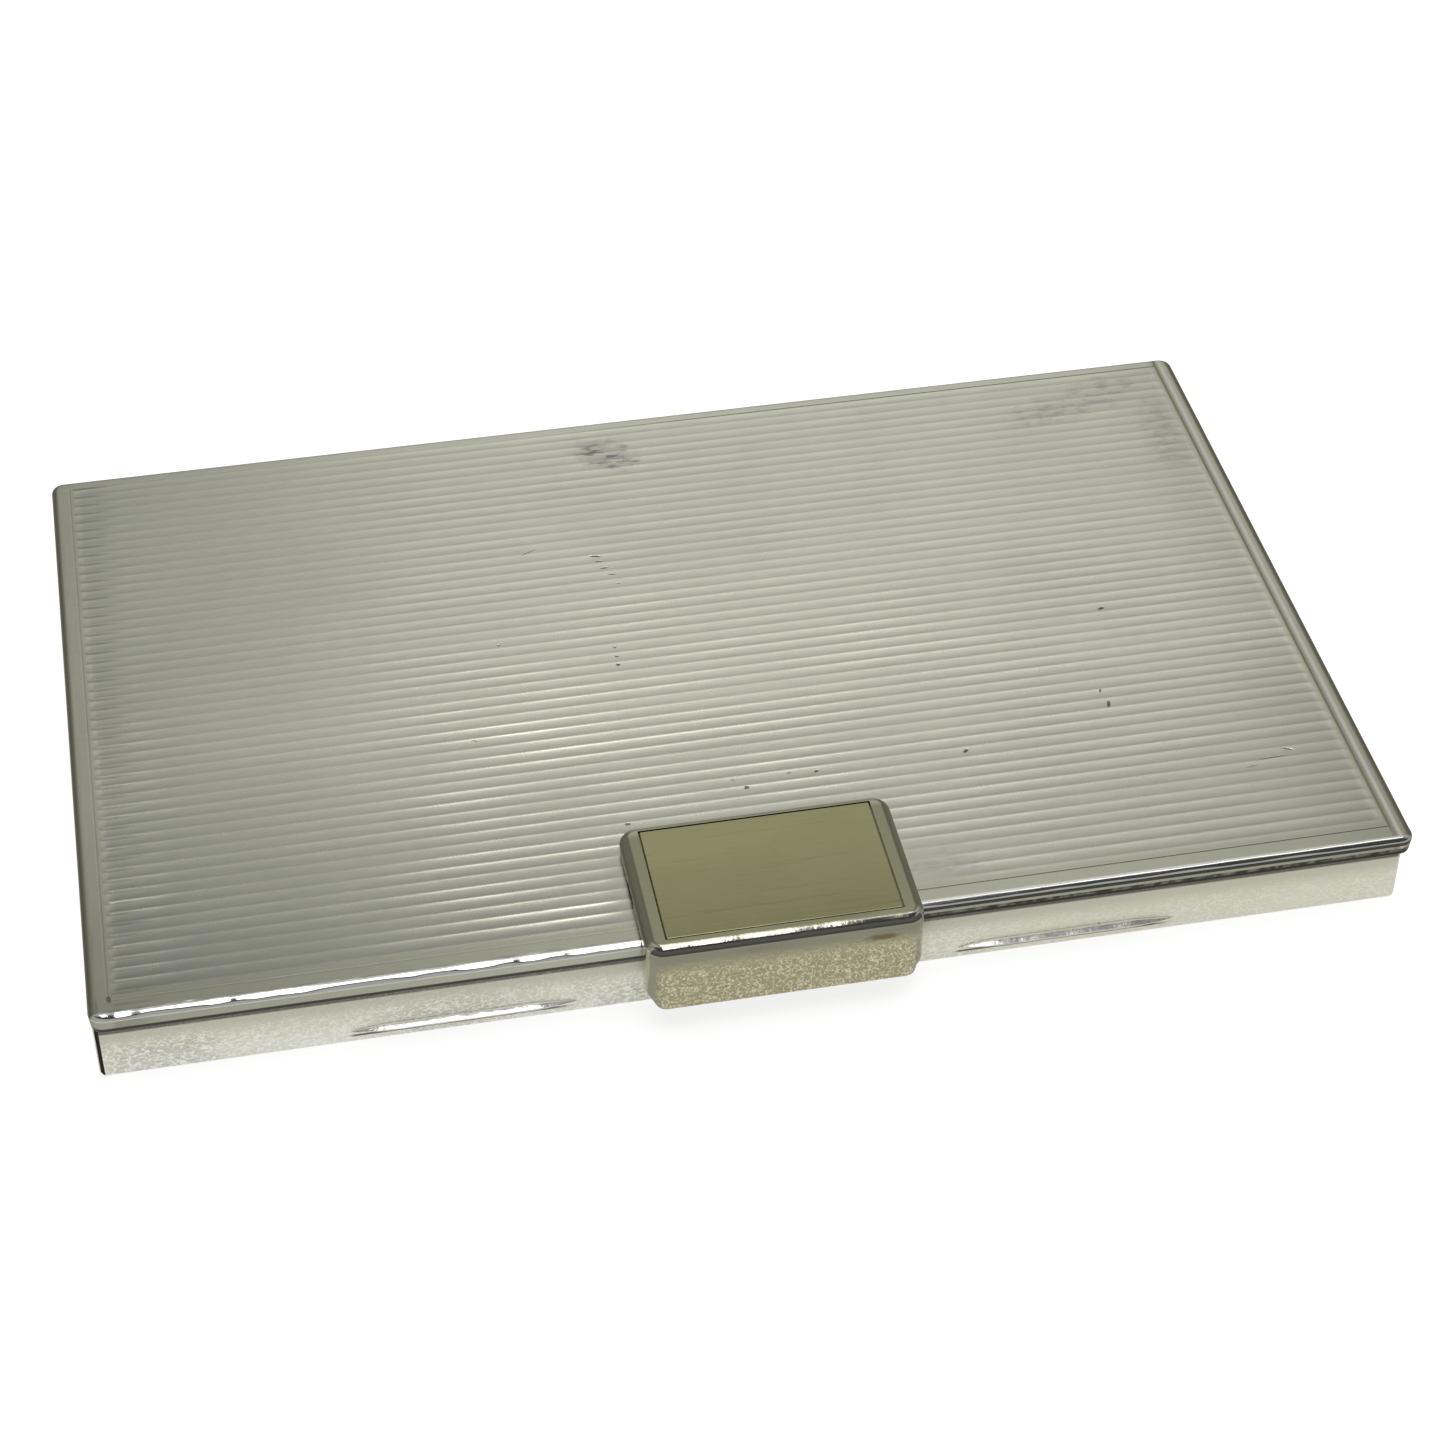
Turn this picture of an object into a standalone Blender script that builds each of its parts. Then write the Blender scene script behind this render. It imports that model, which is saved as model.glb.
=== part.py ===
"""Business card case: a shallow silver box with a fluted, hinged lid and a rocking thumb latch.

Frame: origin on the surface the case lies on, under the middle of the lid's outline.
+X runs along the hinge to the right, +Y from the latch to the hinge, +Z up. Metres.
"""
import math

import bmesh
import bpy
from mathutils import Matrix, Vector

MM = 0.001

# Overall sizes
CASE_WIDTH = 95.0 * MM
CASE_DEPTH = 61.4 * MM
CASE_HEIGHT = 6.6 * MM
LID_HEIGHT = 1.6 * MM
SHEET = 0.6 * MM
CORNER_RADIUS = 1.0 * MM

# How far the lid stands past the base
SIDE_OVERHANG = 0.5 * MM
FRONT_OVERHANG = 0.7 * MM
BACK_OVERHANG = 0.7 * MM

# Clearances
SEAT_GAP = 0.05 * MM      # soldered, riveted and resting faces
RUN_GAP = 0.05 * MM       # round a pin
SWING_GAP = 0.10 * MM     # past anything that swings by
SEAM_GAP = 0.10 * MM      # between the closed lid's rim and the base
BEARER_PLAY = 0.20 * MM   # between the bearers and the lid's rim

# Lid
RIM_WIDTH = 1.0 * MM
LID_EDGE_ROUND = 0.5 * MM
FLUTE_PITCH = 1.11 * MM
FLUTE_DEPTH = 0.16 * MM
FLUTE_SINK = 0.02 * MM
FIELD_SIDE_MARGIN = 2.05 * MM
FIELD_FRONT_MARGIN = 2.0 * MM
FIELD_BACK_MARGIN = 1.5 * MM

# Base
BASE_EDGE_ROUND = 0.4 * MM
BEARER_WIDTH = 0.6 * MM
BEARER_RISE = 0.6 * MM

# Hinge
BARREL_RADIUS = 0.9 * MM
HINGE_PIN_RADIUS = 0.35 * MM
HINGE_INSET = 0.05 * MM
KNUCKLE_COUNT = 7
PLUG_LENGTH = 0.8 * MM
HINGE_BEARER_WIDTH = 1.1 * MM
HINGE_BEARER_HEIGHT = 2.2 * MM
LID_BEARER_DROP = 0.65 * MM

# Grip beads on the front wall
BEAD_LENGTH = 16.0 * MM
BEAD_CENTRE_X = 21.9 * MM
BEAD_CENTRE_Z = 1.25 * MM
BEAD_HEIGHT = 0.8 * MM
BEAD_PROUD = 0.45 * MM
BEAD_POINT = 3.5 * MM
BEAD_SEGMENTS = 12
BEAD_STATIONS = 15

# Thumb latch
LATCH_WIDTH = 19.85 * MM
LATCH_DEPTH = 12.9 * MM
LATCH_OFFSET = 0.67 * MM
LATCH_PROUD = 2.4 * MM
LATCH_RISE = 1.5 * MM
LATCH_SKIRT = 6.0 * MM
LATCH_WALL = 0.7 * MM
LATCH_CEILING = 0.55 * MM
LATCH_CORNER = 1.3 * MM
LATCH_EDGE_ROUND = 0.8 * MM
LATCH_FOOT_ROUND = 1.35 * MM
LATCH_SWING_DEG = 4.0
LATCH_RIM_GAP = 0.2 * MM
LATCH_NOTCH_WIDTH = 2.4 * MM
LATCH_NOTCH_HEIGHT = 0.6 * MM
PLATE_SIDE_MARGIN = 1.5 * MM
PLATE_FRONT_MARGIN = 1.15 * MM
PLATE_BACK_MARGIN = 0.8 * MM
PLATE_THICKNESS = 0.22 * MM

# Latch pivot, bracket and spring
PIVOT_SETBACK = 4.7 * MM
PIVOT_PIN_RADIUS = 0.22 * MM
EAR_RADIUS = 0.40 * MM
EAR_LENGTH = 3.0 * MM
LUG_LENGTH = 1.2 * MM
BRACKET_THICKNESS = 0.25 * MM
BRACKET_FRONT = 1.0 * MM
BRACKET_BACK = 2.4 * MM
RIVET_RADIUS = 0.40 * MM
RIVET_HEAD_RADIUS = 0.70 * MM
RIVET_CROWN_RADIUS = 0.45 * MM
RIVET_HEAD_HEIGHT = 0.20 * MM
RIVET_SPACING = 5.6 * MM
RIVET_SETBACK = 1.4 * MM
SPRING_THICKNESS = 0.10 * MM
SPRING_WIDTH = 8.0 * MM
SPRING_REACH = 4.6 * MM

# Hook and keeper
HOOK_WIDTH = 8.0 * MM
HOOK_HEIGHT = 0.7 * MM
HOOK_LIFT = 0.25 * MM
HOOK_TIP_GAP = 0.2 * MM
KEEPER_WIDTH = 7.0 * MM
KEEPER_THICKNESS = 0.3 * MM
KEEPER_HEIGHT = 0.6 * MM
KEEPER_DROP = 0.6 * MM

ROUND_SEGMENTS = 24
RIVET_SEGMENTS = 16

SILVER = ("silver", (0.74, 0.73, 0.68, 1.0), 0.28, 1.0)
FROSTED = ("frosted_silver", (0.80, 0.78, 0.74, 1.0), 0.45, 1.0)
LATCH_METAL = ("latch_silver", (0.66, 0.63, 0.53, 1.0), 0.30, 1.0)
GOLD = ("gold_plate", (0.62, 0.58, 0.38, 1.0), 0.35, 1.0)
STEEL = ("spring_steel", (0.45, 0.45, 0.46, 1.0), 0.35, 1.0)

# Heights that follow from the sizes above
LID_UNDERSIDE = CASE_HEIGHT - SHEET
SEAM_Z = CASE_HEIGHT - LID_HEIGHT
BASE_TOP = SEAM_Z - SEAM_GAP
BASE_HALF_WIDTH = CASE_WIDTH / 2 - SIDE_OVERHANG
BASE_FRONT = -CASE_DEPTH / 2 + FRONT_OVERHANG
BASE_BACK = CASE_DEPTH / 2 - BACK_OVERHANG
WALL_INSIDE_X = BASE_HALF_WIDTH - SHEET
WALL_INSIDE_FRONT = BASE_FRONT + SHEET
WALL_INSIDE_BACK = BASE_BACK - SHEET
HINGE_Y = CASE_DEPTH / 2 - BARREL_RADIUS - HINGE_INSET
HINGE_Z = LID_UNDERSIDE - SEAT_GAP - BARREL_RADIUS
BARREL_ROOM = BARREL_RADIUS + SWING_GAP
BEARER_BACK = HINGE_Y - BARREL_ROOM - HINGE_BEARER_WIDTH

LATCH_LEFT = LATCH_OFFSET - LATCH_WIDTH / 2
LATCH_RIGHT = LATCH_OFFSET + LATCH_WIDTH / 2
LATCH_FRONT = -CASE_DEPTH / 2 - LATCH_PROUD
LATCH_BACK = LATCH_FRONT + LATCH_DEPTH
LATCH_TOP = CASE_HEIGHT + LATCH_RISE
LATCH_BOTTOM = LATCH_TOP - LATCH_SKIRT
CEILING_Z = LATCH_TOP - LATCH_CEILING
PIVOT_Y = -CASE_DEPTH / 2 + PIVOT_SETBACK
PIVOT_Z = CASE_HEIGHT + SEAT_GAP + EAR_RADIUS
BRACKET_TOP = CASE_HEIGHT + SEAT_GAP + BRACKET_THICKNESS
RIVET_Y = PIVOT_Y + RIVET_SETBACK
KEEPER_TOP = BASE_TOP - KEEPER_DROP
KEEPER_BOTTOM = KEEPER_TOP - KEEPER_HEIGHT


def clear_scene():
    for old in list(bpy.data.objects):
        bpy.data.objects.remove(old, do_unlink=True)


def finish_material(recipe):
    name, colour, roughness, metallic = recipe
    material = bpy.data.materials.get(name) or bpy.data.materials.new(name)
    material.use_nodes = True
    shader = material.node_tree.nodes["Principled BSDF"]
    shader.inputs["Base Color"].default_value = colour
    shader.inputs["Roughness"].default_value = roughness
    shader.inputs["Metallic"].default_value = metallic
    material.diffuse_color = colour
    return material


def make_object(name, bm, recipe, axis_empty=None):
    """Turn a bmesh in world coordinates into a named object, hung on its joint's empty if it moves."""
    bmesh.ops.remove_doubles(bm, verts=bm.verts, dist=0.001 * MM)
    bmesh.ops.recalc_face_normals(bm, faces=bm.faces)
    mesh = bpy.data.meshes.new(name)
    if axis_empty is not None:
        bm.transform(Matrix.Translation(-world_place(axis_empty)))
    bm.to_mesh(mesh)
    bm.free()
    mesh.shade_smooth()
    mesh.set_sharp_from_angle(angle=math.radians(30))
    obj = bpy.data.objects.new(name, mesh)
    bpy.context.scene.collection.objects.link(obj)
    if recipe is not None:
        mesh.materials.append(finish_material(recipe))
    if axis_empty is not None:
        obj.parent = axis_empty
    return obj


def world_place(empty):
    place = Vector(empty.location)
    while empty.parent is not None:
        empty = empty.parent
        place += empty.location
    return place


def make_axis(name, y, z, parent=None):
    empty = bpy.data.objects.new(name, None)
    bpy.context.scene.collection.objects.link(empty)
    empty.empty_display_size = 5 * MM
    empty.location = (0, y, z)
    if parent is not None:
        empty.location = Vector((0, y, z)) - world_place(parent)
        empty.parent = parent
    return empty


def block(x_range, y_range, z_range):
    """A plain box between two values on each axis."""
    bm = bmesh.new()
    bmesh.ops.create_cube(bm, size=1.0)
    low = Vector((x_range[0], y_range[0], z_range[0]))
    high = Vector((x_range[1], y_range[1], z_range[1]))
    bmesh.ops.scale(bm, vec=high - low, verts=bm.verts)
    bmesh.ops.translate(bm, vec=(low + high) / 2, verts=bm.verts)
    return bm


def edges_along(bm, axis):
    """Edges that run along one axis, 0 to 2."""
    found = []
    for edge in bm.edges:
        run = edge.verts[1].co - edge.verts[0].co
        if abs(run[axis]) > 0.99 * run.length:
            found.append(edge)
    return found


def edges_at(bm, axis, value):
    """Edges that lie in the plane where one coordinate has this value."""
    near = 0.001 * MM
    return [e for e in bm.edges if all(abs(v.co[axis] - value) < near for v in e.verts)]


def round_off(bm, edges, radius, segments):
    bmesh.ops.bevel(bm, geom=edges, offset=radius, offset_type="OFFSET", segments=segments,
                    profile=0.5, affect="EDGES", clamp_overlap=True, material=-1)


def profile_bar(points, x_range):
    """A closed outline of (y, z) points, carried along X."""
    bm = bmesh.new()
    verts = [bm.verts.new((x_range[0], y, z)) for y, z in points]
    face = bm.faces.new(verts)
    side = bmesh.ops.extrude_face_region(bm, geom=[face])
    moved = [v for v in side["geom"] if isinstance(v, bmesh.types.BMVert)]
    bmesh.ops.translate(bm, vec=(x_range[1] - x_range[0], 0, 0), verts=moved)
    return bm


def plan_slab(points, z_range):
    """A closed outline of (x, y) points, carried up Z."""
    bm = bmesh.new()
    verts = [bm.verts.new((x, y, z_range[0])) for x, y in points]
    face = bm.faces.new(verts)
    side = bmesh.ops.extrude_face_region(bm, geom=[face])
    moved = [v for v in side["geom"] if isinstance(v, bmesh.types.BMVert)]
    bmesh.ops.translate(bm, vec=(0, 0, z_range[1] - z_range[0]), verts=moved)
    return bm


def arc(centre, radius, start_deg, end_deg, steps):
    """Points on an arc; an angle of 0 is the first coordinate's direction."""
    points = []
    for i in range(steps + 1):
        angle = math.radians(start_deg + (end_deg - start_deg) * i / steps)
        points.append((centre[0] + radius * math.cos(angle), centre[1] + radius * math.sin(angle)))
    return points


def rod_x(radius, x_range, y, z, segments=ROUND_SEGMENTS):
    return profile_bar(arc((y, z), radius, 0, 360 * (1 - 1 / segments), segments - 1), x_range)


def turned(outline, cent, axis, steps):
    """A closed or axis-ended outline of points, turned once round an axis."""
    bm = bmesh.new()
    verts = [bm.verts.new(point) for point in outline]
    edges = [bm.edges.new(pair) for pair in zip(verts, verts[1:])]
    if outline_is_ring(outline, cent, axis):
        edges.append(bm.edges.new((verts[-1], verts[0])))
    bmesh.ops.spin(bm, geom=verts + edges, axis=axis, cent=cent, angle=math.tau,
                   steps=steps, use_merge=True)
    return bm


def outline_is_ring(outline, cent, axis):
    """True where the outline's first point stands off the axis, as a tube's does."""
    arm = Vector(outline[0]) - Vector(cent)
    return arm.cross(Vector(axis)).length > 0.001 * MM


def tube_x(outer, inner, x_range, y, z):
    """A round tube along X, open at both ends."""
    x0, x1 = x_range
    outline = [(x0, y + inner, z), (x1, y + inner, z), (x1, y + outer, z), (x0, y + outer, z)]
    return turned(outline, (0, y, z), (1, 0, 0), ROUND_SEGMENTS)


def rod_z(radius, z_range, x, y, segments=ROUND_SEGMENTS):
    return plan_slab(arc((x, y), radius, 0, 360 * (1 - 1 / segments), segments - 1), z_range)


def cut(target, bm, name):
    """Take a cutter out of a piece; the cutter stays as a hidden guide."""
    cutter = make_object(name, bm, None, target.parent)
    cutter.hide_render = True
    cutter.display_type = "WIRE"
    modifier = target.modifiers.new(name, "BOOLEAN")
    modifier.operation = "DIFFERENCE"
    modifier.solver = "EXACT"
    modifier.object = cutter


def base_tray():
    """Floor and four walls; the back wall is hollowed along its top to seat the hinge barrel."""
    bm = block((-BASE_HALF_WIDTH, BASE_HALF_WIDTH), (BASE_FRONT, BASE_BACK), (0, BASE_TOP))
    round_off(bm, edges_along(bm, 2), CORNER_RADIUS, 4)
    round_off(bm, edges_at(bm, 2, 0), BASE_EDGE_ROUND, 3)
    tray = make_object("base_tray", bm, FROSTED)
    inside = block((-WALL_INSIDE_X, WALL_INSIDE_X), (WALL_INSIDE_FRONT, WALL_INSIDE_BACK),
                   (SHEET, BASE_TOP + SHEET))
    round_off(inside, edges_along(inside, 2), CORNER_RADIUS - SHEET, 3)
    cut(tray, inside, "cut_tray_inside")
    past_sides = BASE_HALF_WIDTH + SHEET
    cut(tray, rod_x(BARREL_ROOM, (-past_sides, past_sides), HINGE_Y, HINGE_Z), "cut_barrel_seat")


def edge_bearers():
    """Strips inside the front and side walls that stand up inside the lid's rim."""
    outer_x = CASE_WIDTH / 2 - RIM_WIDTH - BEARER_PLAY
    outer_x = min(outer_x, WALL_INSIDE_X - SEAT_GAP)
    outer_front = max(-CASE_DEPTH / 2 + RIM_WIDTH + BEARER_PLAY, WALL_INSIDE_FRONT + SEAT_GAP)
    z_range = (SHEET + SEAT_GAP, SEAM_Z + BEARER_RISE)
    front_end = outer_x - BEARER_WIDTH - SEAT_GAP - CORNER_RADIUS
    make_object("bearer_front",
                block((-front_end, front_end), (outer_front, outer_front + BEARER_WIDTH), z_range), SILVER)
    y_range = (outer_front + BEARER_WIDTH + SEAT_GAP, BEARER_BACK - SEAT_GAP)
    for side, sign in (("left", -1), ("right", 1)):
        faces = sorted((sign * outer_x, sign * (outer_x - BEARER_WIDTH)))
        make_object(f"bearer_{side}", block(faces, y_range, z_range), SILVER)


def hinge_bearers(lid_axis):
    """Grooved strips along the back edge of the base and of the lid that the knuckles are soldered to."""
    half = WALL_INSIDE_X - BEARER_WIDTH - BEARER_PLAY
    back = WALL_INSIDE_BACK - SEAT_GAP
    seat_start = math.degrees(math.acos((back - HINGE_Y) / BARREL_ROOM))
    top = BASE_TOP
    seat_end = 180 - math.degrees(math.asin((HINGE_Z - top) / BARREL_ROOM))
    groove = arc((HINGE_Y, HINGE_Z), BARREL_ROOM, -seat_start, -seat_end, 5)
    low = top - HINGE_BEARER_HEIGHT
    outline = [(BEARER_BACK, low), (back, low)] + groove + [(BEARER_BACK, top)]
    make_object("hinge_bearer_base", profile_bar(outline, (-half, half)), SILVER)

    roof = LID_UNDERSIDE - SEAT_GAP
    drop = roof - LID_BEARER_DROP
    seat = BARREL_RADIUS + SWING_GAP
    start = math.degrees(math.asin((drop - HINGE_Z) / seat))
    end = math.degrees(math.asin((roof - SEAT_GAP - HINGE_Z) / seat))
    groove = arc((HINGE_Y, HINGE_Z), seat, 180 - start, 180 - end, 5)
    outline = [(BEARER_BACK, roof), (BEARER_BACK, drop)] + groove + [(groove[-1][0], roof)]
    make_object("hinge_bearer_lid", profile_bar(outline, (-half, half)), SILVER, lid_axis)


def hinge_barrel(lid_axis):
    """Knuckles cut from tube, soldered in turn to base and lid, with a steel pin plugged at both ends."""
    length = 2 * BASE_HALF_WIDTH
    knuckle = (length - (KNUCKLE_COUNT - 1) * SWING_GAP) / KNUCKLE_COUNT
    bore = HINGE_PIN_RADIUS + RUN_GAP
    for i in range(KNUCKLE_COUNT):
        start = -length / 2 + i * (knuckle + SWING_GAP)
        on_lid = i % 2 == 1
        owner = "lid" if on_lid else "base"
        tube = tube_x(BARREL_RADIUS, bore, (start, start + knuckle), HINGE_Y, HINGE_Z)
        make_object(f"{owner}_knuckle_{i // 2 + 1}", tube, SILVER, lid_axis if on_lid else None)
    pin_end = length / 2 - PLUG_LENGTH - SEAT_GAP
    make_object("hinge_pin", rod_x(HINGE_PIN_RADIUS, (-pin_end, pin_end), HINGE_Y, HINGE_Z), STEEL)
    for side, sign in (("left", -1), ("right", 1)):
        ends = sorted((sign * length / 2, sign * (length / 2 - PLUG_LENGTH)))
        make_object(f"hinge_plug_{side}", rod_x(HINGE_PIN_RADIUS, ends, HINGE_Y, HINGE_Z), SILVER)


def grip_beads():
    """Two long beads with pointed ends, soldered low on the front wall."""
    for side, sign in (("left", -1), ("right", 1)):
        bm = bmesh.new()
        turn = Matrix.Rotation(math.pi / 2, 4, "Y")
        bmesh.ops.create_cone(bm, cap_ends=True, segments=BEAD_SEGMENTS, radius1=1, radius2=1,
                              depth=BEAD_LENGTH, matrix=turn)
        bmesh.ops.subdivide_edges(bm, edges=edges_along(bm, 0), cuts=BEAD_STATIONS, use_grid_fill=True)
        for vert in bm.verts:
            from_end = BEAD_LENGTH / 2 - abs(vert.co.x)
            swell = math.sin(min(1.0, from_end / BEAD_POINT + 0.08) * math.pi / 2)
            vert.co.y *= swell * BEAD_PROUD
            vert.co.z *= swell * BEAD_HEIGHT / 2
        cut_all = bm.verts[:] + bm.edges[:] + bm.faces[:]
        bmesh.ops.bisect_plane(bm, geom=cut_all, plane_co=(0, 0, 0), plane_no=(0, 1, 0), clear_outer=True)
        bmesh.ops.holes_fill(bm, edges=[e for e in bm.edges if e.is_boundary])
        place = Vector((sign * BEAD_CENTRE_X, BASE_FRONT - SEAT_GAP, BEAD_CENTRE_Z))
        bmesh.ops.translate(bm, vec=place, verts=bm.verts)
        make_object(f"grip_bead_{side}", bm, SILVER)


def keeper():
    """Bar on the front wall that the latch's hook catches under."""
    half = KEEPER_WIDTH / 2
    bm = block((LATCH_OFFSET - half, LATCH_OFFSET + half),
               (BASE_FRONT - SEAT_GAP - KEEPER_THICKNESS, BASE_FRONT - SEAT_GAP), (KEEPER_BOTTOM, KEEPER_TOP))
    make_object("keeper", bm, SILVER)


def flute_cutter():
    """Everything above the lid's fluted field: hollows that meet in crests below, flat above."""
    front = -CASE_DEPTH / 2 + FIELD_FRONT_MARGIN
    back = CASE_DEPTH / 2 - FIELD_BACK_MARGIN
    count = round((back - front) / FLUTE_PITCH)
    pitch = (back - front) / count
    wave = ((0.0, 0.0), (0.2, 0.64), (0.5, 1.0), (0.8, 0.64))
    points = []
    for i in range(count):
        for along, down in wave:
            points.append((front + (i + along) * pitch, CASE_HEIGHT - FLUTE_SINK - down * FLUTE_DEPTH))
    points.append((back, CASE_HEIGHT - FLUTE_SINK))
    points += [(back, CASE_HEIGHT + SHEET), (front, CASE_HEIGHT + SHEET)]
    half = CASE_WIDTH / 2 - FIELD_SIDE_MARGIN
    return profile_bar(points, (-half, half))


def rivet_places():
    return [LATCH_OFFSET - RIVET_SPACING / 2, LATCH_OFFSET + RIVET_SPACING / 2]


def lid_shell(lid_axis):
    """Fluted top sheet with its rim turned down at the front and sides."""
    half_w = CASE_WIDTH / 2
    half_d = CASE_DEPTH / 2
    bm = block((-half_w, half_w), (-half_d, half_d), (SEAM_Z, CASE_HEIGHT))
    round_off(bm, edges_along(bm, 2), CORNER_RADIUS, 4)
    round_off(bm, edges_at(bm, 2, CASE_HEIGHT), LID_EDGE_ROUND, 3)
    shell = make_object("lid_shell", bm, SILVER, lid_axis)
    inner_x = half_w - RIM_WIDTH
    rim_end = HINGE_Y - BARREL_ROOM
    past_x = half_w + RIM_WIDTH
    past_y = half_d + RIM_WIDTH
    right_half = [(inner_x, -half_d + RIM_WIDTH), (inner_x, rim_end), (past_x, rim_end), (past_x, past_y)]
    outline = right_half + [(-x, y) for x, y in reversed(right_half)]
    cut(shell, plan_slab(outline, (SEAM_Z - SHEET, LID_UNDERSIDE)), "cut_lid_inside")
    cut(shell, flute_cutter(), "cut_flutes")
    for i, x in enumerate(rivet_places()):
        hole = rod_z(RIVET_RADIUS + RUN_GAP, (LID_UNDERSIDE - SHEET, CASE_HEIGHT + SHEET), x, RIVET_Y)
        cut(shell, hole, f"cut_lid_rivet_hole_{i + 1}")


def latch_bracket(lid_axis):
    """Strip riveted to the lid with two ears that carry the latch's pivot pin."""
    under = CASE_HEIGHT + SEAT_GAP
    lift = math.degrees(math.asin((PIVOT_Z - BRACKET_TOP) / EAR_RADIUS))
    hump = arc((PIVOT_Y, PIVOT_Z), EAR_RADIUS, 180 + lift, -lift, 12)
    front = PIVOT_Y - BRACKET_FRONT
    back = PIVOT_Y + BRACKET_BACK
    outline = [(front, under), (front, BRACKET_TOP)] + hump + [(back, BRACKET_TOP), (back, under)]
    half = ear_end()
    bm = profile_bar(outline, (LATCH_OFFSET - half, LATCH_OFFSET + half))
    bracket = make_object("latch_bracket", bm, SILVER, lid_axis)
    middle = half - EAR_LENGTH
    clear = block((LATCH_OFFSET - middle, LATCH_OFFSET + middle), (front - SHEET, back + SHEET),
                  (BRACKET_TOP, LATCH_TOP))
    cut(bracket, clear, "cut_bracket_middle")
    bore = rod_x(PIVOT_PIN_RADIUS + RUN_GAP, (LATCH_LEFT, LATCH_RIGHT), PIVOT_Y, PIVOT_Z)
    cut(bracket, bore, "cut_bracket_bore")
    for i, x in enumerate(rivet_places()):
        hole = rod_z(RIVET_RADIUS + RUN_GAP, (under - SHEET, LATCH_TOP), x, RIVET_Y)
        cut(bracket, hole, f"cut_bracket_rivet_hole_{i + 1}")


def ear_end():
    """Half the bracket's length: it fills the room between the cover's two lugs."""
    return LATCH_WIDTH / 2 - LATCH_WALL - SEAT_GAP - LUG_LENGTH - SWING_GAP


def latch_rivets(lid_axis):
    """Rivets through spring, bracket and lid, headed above and below."""
    head_z = BRACKET_TOP + SPRING_THICKNESS + 2 * SEAT_GAP
    tail_z = LID_UNDERSIDE - SEAT_GAP
    for i, x in enumerate(rivet_places()):
        outline = [(0, head_z + RIVET_HEAD_HEIGHT), (RIVET_CROWN_RADIUS, head_z + RIVET_HEAD_HEIGHT),
                   (RIVET_HEAD_RADIUS, head_z), (RIVET_RADIUS, head_z), (RIVET_RADIUS, tail_z),
                   (RIVET_HEAD_RADIUS, tail_z), (RIVET_CROWN_RADIUS, tail_z - RIVET_HEAD_HEIGHT),
                   (0, tail_z - RIVET_HEAD_HEIGHT)]
        bm = turned([(x + r, RIVET_Y, z) for r, z in outline], (x, RIVET_Y, 0), (0, 0, 1), RIVET_SEGMENTS)
        make_object(f"latch_rivet_{i + 1}", bm, STEEL, lid_axis)


def latch_spring(lid_axis):
    """Leaf under the back of the thumb-piece that pushes it up, so that the hook stays in."""
    under = BRACKET_TOP + SEAT_GAP
    start = RIVET_Y - RIVET_HEAD_RADIUS
    bend = RIVET_Y + RIVET_HEAD_RADIUS
    tip = PIVOT_Y + SPRING_REACH
    rise = (CEILING_Z - SWING_GAP - (tip - PIVOT_Y) * math.sin(math.radians(LATCH_SWING_DEG))
            - SPRING_THICKNESS - under)
    outline = [(start, under), (bend, under), (tip, under + rise),
               (tip, under + rise + SPRING_THICKNESS), (bend, under + SPRING_THICKNESS),
               (start, under + SPRING_THICKNESS)]
    half = SPRING_WIDTH / 2
    bm = profile_bar(outline, (LATCH_OFFSET - half, LATCH_OFFSET + half))
    spring = make_object("latch_spring", bm, STEEL, lid_axis)
    for i, x in enumerate(rivet_places()):
        hole = rod_z(RIVET_RADIUS + RUN_GAP, (CASE_HEIGHT, LATCH_TOP), x, RIVET_Y)
        cut(spring, hole, f"cut_spring_rivet_hole_{i + 1}")


def thumb_cover(latch_axis):
    """Hollow cap over the lid's front edge, with a skirt that hangs in front of the base."""
    bm = block((LATCH_LEFT, LATCH_RIGHT), (LATCH_FRONT, LATCH_BACK), (LATCH_BOTTOM, LATCH_TOP))
    round_off(bm, edges_along(bm, 2), LATCH_CORNER, 5)
    round_off(bm, edges_at(bm, 2, LATCH_TOP), LATCH_EDGE_ROUND, 4)
    round_off(bm, edges_at(bm, 2, LATCH_BOTTOM), LATCH_WALL / 2, 2)
    cover = make_object("thumb_cover", bm, LATCH_METAL, latch_axis)
    swing = math.sin(math.radians(LATCH_SWING_DEG))
    low = LATCH_BOTTOM - LATCH_WALL
    past = LATCH_BACK + LATCH_WALL
    lip = -CASE_DEPTH / 2 - LATCH_RIM_GAP
    level = CASE_HEIGHT + SWING_GAP
    under = [(lip, low), (lip, level), (PIVOT_Y, level), (past, level + (past - PIVOT_Y) * swing),
             (past, low)]
    cut(cover, profile_bar(under, (LATCH_LEFT - LATCH_WALL, LATCH_RIGHT + LATCH_WALL)), "cut_cover_under")
    hollow = block((LATCH_LEFT + LATCH_WALL, LATCH_RIGHT - LATCH_WALL),
                   (LATCH_FRONT + LATCH_WALL, LATCH_BACK - LATCH_WALL), (low, CEILING_Z))
    round_off(hollow, edges_along(hollow, 2), LATCH_CORNER - LATCH_WALL, 3)
    cut(cover, hollow, "cut_cover_hollow")
    notch = block((LATCH_LEFT - LATCH_WALL, LATCH_RIGHT + LATCH_WALL),
                  (PIVOT_Y - LATCH_NOTCH_WIDTH / 2, PIVOT_Y + LATCH_NOTCH_WIDTH / 2),
                  (CASE_HEIGHT, CASE_HEIGHT + LATCH_NOTCH_HEIGHT))
    cut(cover, notch, "cut_cover_notches")
    x_range, y_range = plate_area(SEAT_GAP)
    pocket = block(x_range, y_range, (LATCH_TOP - PLATE_THICKNESS - SEAT_GAP, LATCH_TOP + SHEET))
    cut(cover, pocket, "cut_plate_pocket")
    cut(cover, skirt_corner(LATCH_LEFT, -1), "cut_skirt_corner_left")
    cut(cover, skirt_corner(LATCH_RIGHT, 1), "cut_skirt_corner_right")


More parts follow.
